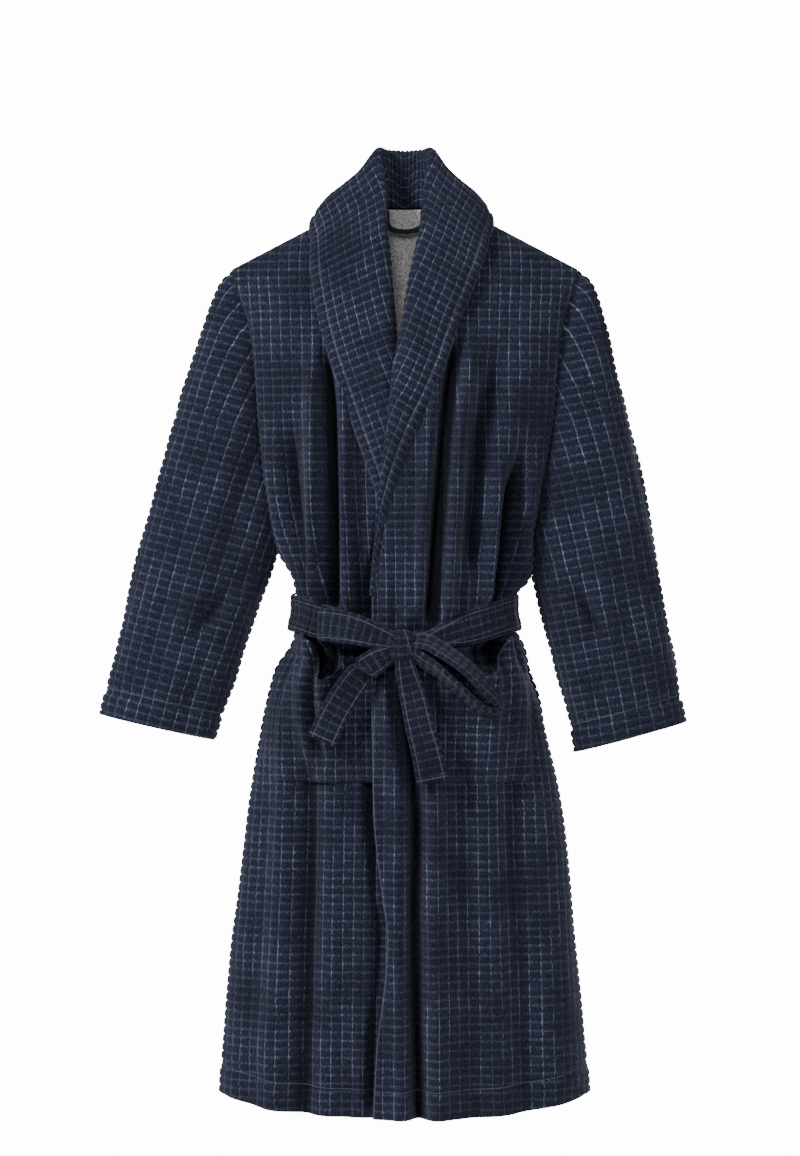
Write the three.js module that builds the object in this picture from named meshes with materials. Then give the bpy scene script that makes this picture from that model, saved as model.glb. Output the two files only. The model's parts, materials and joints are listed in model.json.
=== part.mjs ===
// A shawl-collar bathrobe in thick pile cloth, hanging closed with its belt tied in a bow.
// Millimetres. +X is the wearer's left, -Y the front and +Z up. The origin is the seat of the
// hanger's neck: the middle of the collar, where the hook of a hanger comes out of the robe.
// Every soft piece is a plain closed solid of the true outer shape: cloth with its thickness.
import * as THREE from "three";

// ---- Driving dimensions ----
const cloth = 4; // one layer of pile cloth
const seamGap = 0.4; // clearance between two pieces that are sewn together
const layerGap = 2.5; // clearance between two layers that lie on each other

const shoulderHalf = 220; // centre line to the shoulder tip
const waistHalf = 139; // centre line to the side seam under the belt
const hemHalf = 229; // centre line to the side seam at the hem
const ridgeTop = -23; // height at which the two shoulder lines would cross
const shoulderSlope = 0.525; // fall of the shoulder line for each millimetre outwards
const neckHalf = 58; // centre line to the neck end of the shoulder seam
const armholeDepth = 320; // shoulder tip down to the underarm
const waistZ = -556; // middle of the belt at the sides
const hemZ = -1166;
const chestDepth = { front: 66, back: 54 }; // centre plane out to the cloth
const waistDepth = { front: 72, back: 58 };
const hemDepth = { front: 116, back: 98 };
const shoulderFall = 90; // how soon the cloth opens out below the shoulder line
const cinch = 30; // the belt holds the waist straight for this much above and below its middle
const armholeAngle = 9; // degrees of the oval section that the armhole leaves open

const overlap = 36; // how far each front edge passes the centre line
const neckOpening = 27; // centre line to the collar's fold at the top of the fronts

const collarEndZ = -500; // the lapels end here
const collarTipZ = -530; // height at which their edges would meet the fold
const lapelLeaf = 8; // width of the collar's inner leaf at the end of the lapel
const collarTop = 14; // height of the collar above the hanger's seat at the back
const collarBackFall = -88; // lower edge of the collar at the back
const collarRoll = 6; // how far the collar's fold stands out behind the neck
const collarTurn = { x: 20, fan: 46 }; // beside the centre back: the stand's place, and its edge's lead
const lapelStops = [0.06, 0.15, 0.27, 0.42, 0.58, 0.76, 1]; // shares of the way down the lapel
const lapelEnd = 12; // the lapel's least width
const lapels = {
  left: { width: 90, taper: 1.6, curve: 1.25 }, // the upper one
  right: { width: 98, taper: 0.9, curve: 0.6 },
};
const facingWidth = 62; // the strip that lines each front edge below the lapel

const sleeveLength = 556; // shoulder tip to the outer corner of the cuff
const cuffWidth = 138;
const sleeveDepth = { armhole: 18, middle: 46, cuff: 42 }; // half the sleeve's thickness
const sleeves = {
  left: { hang: 11.8, cuffSlope: 15.5 }, // degrees outwards from vertical, and of the cuff's edge
  right: { hang: 15.4, cuffSlope: 12.5 },
};
const sleeveClear = 2; // clearance at the armhole, for the sleeve to lift

const beltWidth = 42;
const beltCloth = 5; // the belt is a stitched tube of thinner cloth
const beltDroop = 40; // how far the belt sinks from the sides to the knot
const knotSize = { x: 40, y: 22, z: 44 };
const pocket = { width: 100, bottomZ: -762, fromCentre: 38, belowBelt: 8, gape: 18, clear: 1.6, sag: 12 };
const keeper = { width: 12, wall: 2, beyondBelt: 8 }; // a side strap that the belt passes under
const tapeLoop = { width: 7, wall: 2, half: 26, drop: 30, corner: 16 }; // hangs the robe on a hook

// ---- Helpers ----
const mix = THREE.MathUtils.lerp;
const clamp = THREE.MathUtils.clamp;
const radians = THREE.MathUtils.degToRad;
const smooth = (value, from, to) => {
  const t = clamp((value - from) / (to - from), 0, 1);
  return t * t * (3 - 2 * t);
};

const tipZ = ridgeTop - shoulderSlope * shoulderHalf;
const underarmZ = tipZ - armholeDepth;
const sides = { left: 1, right: -1 };
const robe = new THREE.Group();

function add(name, geometry, colour, roughness = 0.95) {
  const material = new THREE.MeshStandardMaterial({ color: colour, roughness, metalness: 0 });
  const mesh = new THREE.Mesh(geometry, material);
  mesh.name = name;
  robe.add(mesh);
}

// A closed solid between two matching grids of points: the outer and the inner face of a sheet.
// outerAt and innerAt take (across, along), each from 0 to 1. A ring joins its first column to its last.
function sheetSolid(outerAt, innerAt, columns, rows, ring = false) {
  const across = ring ? columns : columns + 1;
  const place = [];
  for (const at of [outerAt, innerAt])
    for (let j = 0; j <= rows; j++)
      for (let i = 0; i < across; i++) place.push(...at(i / columns, j / rows).toArray());
  const id = (face, i, j) => (face * (rows + 1) + j) * across + (i % across);
  const triangles = [];
  const quad = (a, b, c, d) => triangles.push(a, b, c, a, c, d);
  for (let j = 0; j < rows; j++)
    for (let i = 0; i < columns; i++) {
      quad(id(0, i, j), id(0, i + 1, j), id(0, i + 1, j + 1), id(0, i, j + 1));
      quad(id(1, i, j), id(1, i, j + 1), id(1, i + 1, j + 1), id(1, i + 1, j));
    }
  for (let i = 0; i < columns; i++) {
    quad(id(0, i, 0), id(1, i, 0), id(1, i + 1, 0), id(0, i + 1, 0));
    quad(id(0, i, rows), id(0, i + 1, rows), id(1, i + 1, rows), id(1, i, rows));
  }
  for (let j = 0; j < rows && !ring; j++) {
    quad(id(0, 0, j), id(0, 0, j + 1), id(1, 0, j + 1), id(1, 0, j));
    quad(id(0, columns, j), id(1, columns, j), id(1, columns, j + 1), id(0, columns, j + 1));
  }
  if (signedVolume(place, triangles) < 0) triangles.reverse();
  const geometry = new THREE.BufferGeometry();
  geometry.setAttribute("position", new THREE.Float32BufferAttribute(place, 3));
  geometry.setIndex(triangles);
  geometry.computeVertexNormals();
  return geometry;
}

function signedVolume(place, triangles) {
  const corner = (k) => new THREE.Vector3().fromArray(place, 3 * triangles[k]);
  let sum = 0;
  for (let k = 0; k < triangles.length; k += 3)
    sum += corner(k).dot(corner(k + 1).cross(corner(k + 2))) / 6;
  return sum;
}

// The same surface moved back along its own normal, for a sheet whose inner face has no formula.
function behind(at, distance, side) {
  const step = 1e-3;
  return (u, v) => {
    const across = at(Math.min(u + step, 1), v).sub(at(Math.max(u - step, 0), v));
    const along = at(u, Math.min(v + step, 1)).sub(at(u, Math.max(v - step, 0)));
    return at(u, v).addScaledVector(across.cross(along).normalize(), side * distance);
  };
}

// ---- The hanging shape of the body: an oval section at every height ----
const ridgeZ = (x) => ridgeTop - shoulderSlope * Math.abs(x);

function halfWidth(z) {
  if (z > tipZ) return shoulderHalf;
  const top = waistZ + cinch;
  const bottom = waistZ - cinch;
  if (z > top) return mix(shoulderHalf, waistHalf, ((tipZ - z) / (tipZ - top)) ** 0.95);
  if (z > bottom) return waistHalf;
  return mix(waistHalf, hemHalf, ((bottom - z) / (bottom - hemZ)) ** 0.68);
}

// Distance of the cloth from the centre plane, before the oval's curve. It closes at the shoulder line.
function depthAt(face, x, z) {
  const t = clamp((waistZ - z) / (waistZ - hemZ), 0, 1) ** 0.8;
  const above = clamp((tipZ - z) / (tipZ - waistZ), 0, 1);
  const open = mix(mix(chestDepth[face], waistDepth[face], above), hemDepth[face], t);
  const below = Math.max(0, ridgeZ(x) - z);
  return cloth + (open - cloth) * (1 - Math.exp(-below / shoulderFall));
}

// A point of the body: angle 0 is the middle of the face and 90 degrees the wearer's left side.
// inset is the distance under the outer face, and is negative outside it.
function bodyPoint(face, angle, z, inset) {
  const x = (halfWidth(z) - inset) * Math.sin(angle);
  const y = seamGap + (depthAt(face, x, z) - inset) * Math.cos(angle);
  return new THREE.Vector3(x, face === "front" ? -y : y, z);
}

const angleOf = (x, z) => Math.asin(clamp(x / halfWidth(z), -1, 1));
const onFront = (x, z, inset) => bodyPoint("front", angleOf(x, z), z, inset);

// The right front and its lapel lie under the left ones near the middle, and come level at the side.
const underlap = 2 * cloth + 2 * layerGap + 0.5;
function layerInset(side, angle, z) {
  if (side === "left") return 0;
  const x = halfWidth(z) * Math.sin(angle);
  const below = smooth(ridgeZ(x) - z, 10, 150);
  return underlap * below * smooth(angle, radians(-75), radians(-28));
}

// The angle at which a panel ends at the side: short of the seam along the armhole.
function sideAngle(z) {
  const open = smooth(z, underarmZ - 15, underarmZ + 45);
  return radians(90 - armholeAngle * open);
}

// The collar's fold crosses the centre line on its way down, and the front edge lies one leaf
// outside it. Below the lapel the edge runs straight down.
const seamZ = ridgeZ(neckHalf);
const backNeckZ = seamZ - 6; // the back's neckline is a little lower

function foldLine(side, z) {
  const down = clamp((seamZ - z) / (seamZ - collarEndZ), 0, 1);
  const leaf = mix(neckHalf - neckOpening, lapelLeaf, down);
  const across = neckOpening + overlap + lapelLeaf;
  const fold = neckOpening - across * (1 - (1 - down) ** lapels[side].curve);
  return { fold: sides[side] * fold, edge: sides[side] * (fold + leaf), leaf };
}

const frontEdge = (side, z) => foldLine(side, z).edge;

function lapelWidth(side, z) {
  const down = clamp((seamZ - z) / (seamZ - collarTipZ), 0, 1);
  return lapels[side].width * Math.cos((down * Math.PI) / 2) ** lapels[side].taper;
}

// ---- Panels ----
const panelRows = { aboveWaist: 10, waist: 2, skirt: 12, all: 24 };

// Rows run from the shoulder line to the hem, and two of them lie on the edges of the cinched waist.
function panelHeight(top, row) {
  const { aboveWaist, waist, skirt } = panelRows;
  if (row < aboveWaist) return mix(top, waistZ + cinch, row / aboveWaist);
  if (row < aboveWaist + waist) return mix(waistZ + cinch, waistZ - cinch, (row - aboveWaist) / waist);
  return mix(waistZ - cinch, hemZ, (row - aboveWaist - waist) / skirt);
}

function frontPanel(side) {
  const sign = sides[side];
  const at = (inset) => (u, v) => {
    const topAngle = mix(sideAngle(tipZ), Math.asin(neckHalf / shoulderHalf), u);
    const z = panelHeight(ridgeZ(shoulderHalf * Math.sin(topAngle)), v * panelRows.all);
    const edge = angleOf(frontEdge(side, z), z);
    const angle = mix(sign * sideAngle(z), edge, u);
    return bodyPoint("front", angle, z, layerInset(side, angle, z) + inset);
  };
  return sheetSolid(at(0), at(cloth), 10, panelRows.all);
}

function backPanel() {
  const at = (inset) => (u, v) => {
    const x = shoulderHalf * Math.sin(mix(-1, 1, u) * sideAngle(tipZ));
    const z = panelHeight(Math.min(ridgeZ(x), backNeckZ), v * panelRows.all);
    return bodyPoint("back", mix(-1, 1, u) * sideAngle(z), z, inset);
  };
  return sheetSolid(at(0), at(cloth), 20, panelRows.all);
}

// ---- Collar: a folded sheet. Each station is a section from the neck seam over the fold to the edge ----
function collarStations(side) {
  const sign = sides[side];
  const point = (x, y, z) => new THREE.Vector3(sign * x, y, z);
  const backOut = (x, z, out) => seamGap + depthAt("back", x, z) + out;
  const backTop = backOut(0, backNeckZ, 0);
  const lowFall = mix(collarTop, collarBackFall, 0.7);
  const back = (x, fan) => [
    point(x, backTop - cloth, seamZ - 4),
    point(x, backTop - cloth, mix(seamZ, collarTop, 0.6)),
    point(x, backTop + collarRoll - cloth, collarTop),
    point(x + fan * 0.3, backTop + 2 * collarRoll, mix(collarTop, collarBackFall, 0.3)),
    point(x + fan * 0.7, backOut(x, lowFall, cloth + 2 * layerGap), lowFall),
    point(x + fan, backOut(x, collarBackFall, cloth + layerGap), collarBackFall),
  ];
  const outer = neckOpening + lapels[side].width * 0.9;
  const foldTop = { x: neckOpening + 4, z: collarTop - 10 };
  const overShoulder = (t) => {
    const z = mix(foldTop.z, ridgeZ(outer) + cloth + 2 * layerGap, t);
    return point(mix(foldTop.x, outer, t), 0, z);
  };
  const shoulder = [
    point(neckHalf - cloth, 0, seamZ + 2),
    point(mix(neckHalf - cloth, foldTop.x, 0.45), 0, mix(seamZ, foldTop.z, 0.5)),
    overShoulder(0),
    overShoulder(0.35),
    overShoulder(0.7),
    overShoulder(1),
  ];
  const stations = [back(seamGap, 0), back(collarTurn.x, collarTurn.fan), shoulder];
  for (const down of lapelStops) {
    const z = mix(seamZ - 8, collarEndZ, down);
    const { edge, leaf } = foldLine(side, z);
    const width = Math.max(lapelWidth(side, z), lapelEnd);
    const place = (inwards, inset) => {
      const x = edge - sign * inwards;
      return onFront(x, z, layerInset(side, angleOf(x, z), z) + inset);
    };
    const under = cloth;
    const over = -(cloth + layerGap);
    stations.push([
      place(2.5, under),
      place(mix(2.5, leaf, 0.6), under),
      place(leaf, (under + over) / 2),
      place(leaf - 5, over),
      place(mix(leaf - 5, leaf - width, 0.5), over),
      place(leaf - width, over),
    ]);
  }
  return stations;
}

function collar(side) {
  const curves = collarStations(side).map((points) => new THREE.CatmullRomCurve3(points));
  const at = (u, v) => {
    const line = new THREE.CatmullRomCurve3(curves.map((curve) => curve.getPoint(u)));
    return line.getPoint(v);
  };
  return sheetSolid(at, behind(at, cloth - 0.6, sides[side]), 9, 16);
}

// A facing lines the inside of each front along its edge, from the waist to the hem. Its rows are the
// front's own rows, so that the two stay apart.
function facing(side) {
  const first = panelRows.aboveWaist;
  const at = (inset) => (u, v) => {
    const z = panelHeight(0, mix(first, panelRows.all, v));
    const x = frontEdge(side, z) + sides[side] * mix(2, facingWidth, u);
    return onFront(x, z, layerInset(side, angleOf(x, z), z) + cloth + 1 + inset);
  };
  return sheetSolid(at(0), at(cloth - 1), 4, panelRows.all - first);
}

// ---- Sleeves ----
function sleeveCorners(side) {
  const sign = sides[side];
  const hang = radians(sleeves[side].hang);
  const slope = radians(sleeves[side].cuffSlope);
  const tip = new THREE.Vector3(sign * (shoulderHalf + sleeveClear), 0, tipZ - 8);
  const underarm = new THREE.Vector3(sign * (halfWidth(underarmZ) + sleeveClear), 0, underarmZ);
  const outer = new THREE.Vector3(sign * Math.sin(hang), 0, -Math.cos(hang));
  outer.multiplyScalar(sleeveLength).add(tip);
  const inner = new THREE.Vector3(-sign * Math.cos(slope), 0, -Math.sin(slope));
  inner.multiplyScalar(cuffWidth).add(outer);
  return { tip, underarm, outer, inner };
}

function sleeve(side) {
  const { tip, underarm, outer, inner } = sleeveCorners(side);
  const sign = sides[side];
  const at = (inset) => (u, v) => {
    const top = tip.clone().lerp(outer, v);
    const low = underarm.clone().lerp(inner, v);
    const half = top.clone().sub(low).multiplyScalar(0.5);
    const turn = 2 * Math.PI * u;
    const shrink = 1 - inset / half.length();
    const point = top.add(low).multiplyScalar(0.5).addScaledVector(half, shrink * Math.cos(turn));
    const depth = mix(sleeveDepth.armhole, sleeveDepth.middle, smooth(v, 0, 0.45));
    point.y = -(mix(depth, sleeveDepth.cuff, smooth(v, 0.45, 1)) - inset) * Math.sin(turn);
    const seamX = sign * (halfWidth(point.z) + sleeveClear);
    point.x = mix(point.x, Math.abs(point.x) < Math.abs(seamX) ? point.x : seamX, (1 - v) ** 6);
    return point;
  };
  return sheetSolid(at(0), at(cloth), 24, 12, true);
}

// ---- Pockets: a patch that gapes at its mouth ----
function pocketPatch(side) {
  const sign = sides[side];
  const at = (inset) => (u, v) => {
    const x = sign * mix(pocket.fromCentre, pocket.fromCentre + pocket.width, u);
    const sag = pocket.sag * Math.sin(Math.PI * u) * (1 - v);
    const top = beltZ(angleOf(x, waistZ)) - beltWidth / 2 - pocket.belowBelt;
    const z = mix(top, pocket.bottomZ, v) - sag;
    const level = layerInset(side, angleOf(x, z), z);
    const belly = pocket.gape * Math.sin(Math.PI * u) * (1 - v ** 3);
    return onFront(x, z, level - pocket.clear - cloth - belly + inset);
  };
  return sheetSolid(at(0), at(cloth), 8, 8);
}

// ---- Belt ----
const beltZ = (angle) => waistZ - beltDroop * Math.max(0, Math.cos(angle)) ** 2;

function beltPoint(turn, across, inset) {
  const angle = turn > Math.PI / 2 && turn < 1.5 * Math.PI ? Math.PI - turn : turn;
  const face = angle === turn ? "front" : "back";
  const z = (face === "front" ? beltZ(angle) : waistZ) + across;
  const point = bodyPoint(face, angle, z, -layerGap - beltCloth + inset);
  point.y += face === "front" ? seamGap : -seamGap;
  return point;
}

function beltBand() {
  const at = (inset) => (u, v) =>
    beltPoint(2 * Math.PI * u, mix(beltWidth / 2, -beltWidth / 2, v), inset);
  return sheetSolid(at(0), at(beltCloth), 48, 1, true);
}

const knotCentre = onFront(-4, waistZ - beltDroop, -layerGap - beltCloth - 1 - knotSize.y / 2);

function beltKnot() {
  const knot = new THREE.SphereGeometry(0.5, 20, 12);
  knot.scale(knotSize.x, knotSize.y, knotSize.z);
  return knot.translate(...knotCentre.toArray());
}

// A free end of the belt: a strip along a centre line of (x, z), which hangs in front of the robe.
const tails = {
  left: { line: [[4, -27], [16, -70], [27, -115], [38, -164]], wide: [24, 38], out: [15, 27] },
  right: { line: [[-24, -10], [-48, -36], [-74, -70], [-96, -112]], wide: [26, 40], out: [15, 30] },
};

function beltTail(side) {
  const { line, wide, out } = tails[side];
  const middle = new THREE.CatmullRomCurve3(
    line.map(([x, down]) => new THREE.Vector3(knotCentre.x + x, 0, knotCentre.z + down)),
  );
  const at = (inset) => (u, v) => {
    const along = middle.getTangent(v);
    const across = new THREE.Vector3(along.z, 0, -along.x).multiplyScalar(mix(...wide, v));
    const point = middle.getPoint(v).addScaledVector(across, mix(-0.5, 0.5, u));
    return onFront(point.x, point.z, -mix(...out, v) + inset);
  };
  return sheetSolid(at(0), at(beltCloth), 3, 10);
}

// A bow loop: a rounded ring of belt. The left one hangs open, the right one lies flat to the front.
const bows = {
  left: { length: 126, height: 42, deep: 26, turn: -36, start: [22, 3] },
  right: { length: 78, height: 17, deep: 34, turn: 167, start: [-23, 7] },
};

function ringShape(length, height, wall) {
  const outline = (inset, Kind) => {
    const radius = height / 2 - inset;
    const path = new Kind();
    path.absarc(length - height / 2, 0, radius, -Math.PI / 2, Math.PI / 2, false);
    path.absarc(height / 2, 0, radius, Math.PI / 2, 1.5 * Math.PI, false);
    path.closePath();
    return path;
  };
  const shape = outline(0, THREE.Shape);
  shape.holes.push(outline(wall, THREE.Path));
  return shape;
}

function bowLoop(side) {
  const { length, height, deep, turn, start } = bows[side];
  const ring = new THREE.ExtrudeGeometry(ringShape(length, height, beltCloth), {
    depth: deep,
    bevelEnabled: false,
    curveSegments: 8,
  });
  ring.translate(0, 0, -deep / 2);
  if (side === "left") ring.rotateX(Math.PI / 2);
  ring.rotateY(radians(-turn));
  const clear = side === "left" ? deep / 2 + pocket.gape + cloth + 4 : height / 2 + beltCloth + layerGap + 2;
  const place = onFront(knotCentre.x + start[0], knotCentre.z + start[1], 0);
  return ring.translate(place.x, knotCentre.y - clear + knotSize.y / 2, place.z);
}

// A keeper at the side seam: a narrow strap that stands off the side so that the belt passes under it.
function beltLoop(side) {
  const { width, wall, beyondBelt } = keeper;
  const high = beltWidth / 2 + beyondBelt;
  const out = layerGap + beltCloth + seamGap + wall;
  const strap = (u, v) => {
    const z = waistZ + mix(high, -high, v);
    const lift = out * smooth(Math.min(v, 1 - v), 0, 0.14) + seamGap + wall + 1;
    return new THREE.Vector3(sides[side] * (halfWidth(z) + lift), mix(-0.5, 0.5, u) * width, z);
  };
  const inner = (u, v) => strap(u, v).sub(new THREE.Vector3(sides[side] * wall, 0, 0));
  return sheetSolid(strap, inner, 1, 20);
}

// The tape loop inside the back of the neck, which goes over a hook: a U of tape, ends up.
function hangingLoop() {
  const { width, wall, half, drop, corner } = tapeLoop;
  const inner = half - width;
  const round = 4; // how far the curve's handles reach past the bottom, and back from it inside
  const shape = new THREE.Shape();
  shape.moveTo(-half, 0).lineTo(-half, corner - drop);
  shape.bezierCurveTo(-half, -drop - round, half, -drop - round, half, corner - drop);
  shape.lineTo(half, 0).lineTo(inner, 0).lineTo(inner, corner - drop);
  shape.bezierCurveTo(inner, round - drop, -inner, round - drop, -inner, corner - drop);
  shape.lineTo(-inner, 0).closePath();
  const loop = new THREE.ExtrudeGeometry(shape, { depth: wall, bevelEnabled: false, curveSegments: 10 });
  loop.rotateX(Math.PI / 2);
  const seat = bodyPoint("back", angleOf(half, backNeckZ), backNeckZ, cloth);
  return loop.translate(0, seat.y - 0.6, seat.z - wall);
}

// ---- The robe ----
const navy = 0x1f2636;
const belted = 0x232a3a;

add("back_panel", backPanel(), navy);
for (const side of ["left", "right"]) {
  add(`${side}_front`, frontPanel(side), navy);
  add(`${side}_facing`, facing(side), navy);
  add(`${side}_collar`, collar(side), navy);
  add(`${side}_sleeve`, sleeve(side), navy);
  add(`${side}_pocket`, pocketPatch(side), navy);
  add(`${side}_belt_loop`, beltLoop(side), belted);
  add(`${side}_belt_tail`, beltTail(side), belted);
  add(`${side}_bow_loop`, bowLoop(side), belted);
}
add("belt_band", beltBand(), belted);
add("belt_knot", beltKnot(), belted);
add("hanging_loop", hangingLoop(), belted);

export default robe;
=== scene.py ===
"""A shawl-collar bathrobe in ribbed pile cloth, hanging closed with its belt tied in a bow.

The cloth is a set of surfaces worked out with numpy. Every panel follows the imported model's own
shape: an oval section at each height, closed along the shoulder line and cinched at the belt. Folds,
rows of raised blocks and seams are then added to it. +X is the wearer's left and -Y the front.
"""
import json
import math

import bmesh
import bpy
import numpy as np
from bpy.props import FloatProperty, FloatVectorProperty, PointerProperty
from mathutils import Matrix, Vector


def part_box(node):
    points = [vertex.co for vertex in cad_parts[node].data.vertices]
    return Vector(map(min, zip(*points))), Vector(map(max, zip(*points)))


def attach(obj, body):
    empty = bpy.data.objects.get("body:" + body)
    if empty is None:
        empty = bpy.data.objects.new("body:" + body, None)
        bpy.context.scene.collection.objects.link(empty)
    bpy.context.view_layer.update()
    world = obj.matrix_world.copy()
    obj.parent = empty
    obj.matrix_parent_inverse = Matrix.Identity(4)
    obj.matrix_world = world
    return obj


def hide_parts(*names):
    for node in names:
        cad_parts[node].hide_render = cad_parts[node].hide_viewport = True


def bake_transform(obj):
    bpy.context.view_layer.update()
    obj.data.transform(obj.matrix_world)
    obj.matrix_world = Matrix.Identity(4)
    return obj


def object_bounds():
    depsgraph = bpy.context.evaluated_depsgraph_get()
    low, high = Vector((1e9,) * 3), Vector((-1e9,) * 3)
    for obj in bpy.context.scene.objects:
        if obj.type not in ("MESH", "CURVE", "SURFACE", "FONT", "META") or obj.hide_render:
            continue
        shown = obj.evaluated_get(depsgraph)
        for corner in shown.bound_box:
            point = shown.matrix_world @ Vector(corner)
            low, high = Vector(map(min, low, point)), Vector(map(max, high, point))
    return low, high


bl_info = {
    "name": "Bathrobe",
    "version": (1, 0, 0),
    "blender": (4, 5, 0),
    "location": "View3D > Sidebar > Robe",
    "description": "Builds a hanging bathrobe in ribbed pile cloth around its packed frame",
    "category": "Add Mesh",
}

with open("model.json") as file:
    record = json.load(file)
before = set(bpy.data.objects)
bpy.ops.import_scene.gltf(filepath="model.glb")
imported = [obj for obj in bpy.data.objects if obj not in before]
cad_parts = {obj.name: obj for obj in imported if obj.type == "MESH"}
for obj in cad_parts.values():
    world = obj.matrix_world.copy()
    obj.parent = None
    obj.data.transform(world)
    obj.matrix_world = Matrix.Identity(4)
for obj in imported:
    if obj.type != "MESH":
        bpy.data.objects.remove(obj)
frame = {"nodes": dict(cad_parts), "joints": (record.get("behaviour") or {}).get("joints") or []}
CAD_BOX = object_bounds()

# ---- Places taken from the frame ----
JOINTS = {joint["name"]: joint for joint in frame["joints"]}
SIDES = {"left": 1.0, "right": -1.0}


def node_box(name):
    """Lowest and highest corner of a CAD node as arrays."""
    low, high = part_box(name)
    return np.array(low), np.array(high)


TIP = np.array(JOINTS["left_sleeve_lift"]["pos_m"])  # the left shoulder tip
BACK_LOW, BACK_HIGH = node_box("back_panel")
FRONT_LOW, FRONT_HIGH = node_box("left_front")
BELT_LOW, BELT_HIGH = node_box("belt_band")
KEEPER_LOW, KEEPER_HIGH = node_box("left_belt_loop")
KNOT_LOW, KNOT_HIGH = node_box("belt_knot")

HEM_Z = BACK_LOW[2]
HEM_HALF = BACK_HIGH[0]
NECK_Z = FRONT_HIGH[2]  # the neck end of the shoulder seam
WAIST_Z = (KEEPER_LOW[2] + KEEPER_HIGH[2]) / 2
BELT_WIDTH = 2 * (BELT_HIGH[2] - WAIST_Z)
BELT_DROOP = WAIST_Z - BELT_WIDTH / 2 - BELT_LOW[2]
HEM_DEPTH = {"front": -FRONT_LOW[1], "back": BACK_HIGH[1]}
CHEST_DEPTH = {"front": 0.57 * HEM_DEPTH["front"], "back": 0.55 * HEM_DEPTH["back"]}
WAIST_DEPTH = {"front": 0.62 * HEM_DEPTH["front"], "back": 0.59 * HEM_DEPTH["back"]}
KNOT = (KNOT_LOW + KNOT_HIGH) / 2

NECK_HALF = 0.058
SHOULDER_SLOPE = (NECK_Z - TIP[2]) / (TIP[0] - NECK_HALF)
RIDGE_TOP = NECK_Z + SHOULDER_SLOPE * NECK_HALF
UNDERARM_Z = TIP[2] - 0.320
SHOULDER_FALL = 0.090  # how soon the cloth opens out below the shoulder line
LAYER = 0.0135  # the right front hangs this far under the left one
CLOTH = 0.0042  # cloth thickness without its raised rows


# ---- Small numeric tools ----
def mix(a, b, t):
    return a + (b - a) * t


def smooth(value, start, end):
    """Rises from 0 at start to 1 at end with level ends."""
    t = np.clip((value - start) / (end - start), 0, 1)
    return t * t * (3 - 2 * t)


def bump(value, width):
    """A bell of height 1 at zero."""
    return np.exp(-((value / width) ** 2))


def through(x, points):
    """A smooth curve through (x, y) points in rising x, level outside them: cubic Hermite pieces
    whose slopes are the means of the slopes on both sides."""
    xs, ys = np.array(sorted(points)).T
    x = np.clip(np.asarray(x, float), xs[0], xs[-1])
    slope = np.gradient(ys, xs)
    k = np.clip(np.searchsorted(xs, x) - 1, 0, len(xs) - 2)
    span = xs[k + 1] - xs[k]
    t = (x - xs[k]) / span
    return (
        ys[k] * (2 * t**3 - 3 * t**2 + 1)
        + ys[k + 1] * (3 * t**2 - 2 * t**3)
        + span * (slope[k] * (t**3 - 2 * t**2 + t) + slope[k + 1] * (t**3 - t**2))
    )


def spline(points, t):
    """A uniform Catmull-Rom curve through rows of points, at parameters t from 0 to 1."""
    p = np.asarray(points, float)
    p = np.concatenate([2 * p[:1] - p[1:2], p, 2 * p[-1:] - p[-2:-1]])
    t = np.clip(np.asarray(t, float), 0, 1) * (len(p) - 3)
    k = np.clip(t.astype(int), 0, len(p) - 4)
    f = (t - k).reshape((-1,) + (1,) * (p.ndim - 1))
    a, b, c, d = p[k], p[k + 1], p[k + 2], p[k + 3]
    return 0.5 * (2 * b + (c - a) * f + (2 * a - 5 * b + 4 * c - d) * f**2 + (3 * b - a - 3 * c + d) * f**3)


def waves(u, v, cell_u, cell_v, seed):
    """Smooth noise from -1 to 1: seeded values on a lattice of cells, eased between its points."""
    rng = np.random.default_rng(seed)
    lattice = rng.uniform(-1, 1, (64, 64))
    u, v = np.broadcast_arrays(u / cell_u + 20.0, v / cell_v + 20.0)
    i, j = np.floor(u).astype(int), np.floor(v).astype(int)
    a, b = u - i, v - j
    a, b = a * a * (3 - 2 * a), b * b * (3 - 2 * b)

    def at(di, dj):
        return lattice[(i + di) % 64, (j + dj) % 64]

    return mix(mix(at(0, 0), at(1, 0), a), mix(at(0, 1), at(1, 1), a), b)


def unit(vectors):
    return vectors / np.maximum(np.linalg.norm(vectors, axis=-1, keepdims=True), 1e-9)


def normals(grid, wrap=False):
    """Unit normals of a grid of points, from the cross product of its two directions."""
    if wrap:
        across = np.roll(grid, -1, axis=1) - np.roll(grid, 1, axis=1)
    else:
        across = np.gradient(grid, axis=1)
    return unit(np.cross(across, np.gradient(grid, axis=0)))


def run_length(grid, axis):
    """Distance run along a grid's rows or columns, from 0."""
    steps = np.linalg.norm(np.diff(grid, axis=axis), axis=-1)
    start = np.zeros_like(np.take(steps, [0], axis=axis))
    return np.concatenate([start, np.cumsum(steps, axis=axis)], axis=axis)


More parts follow.
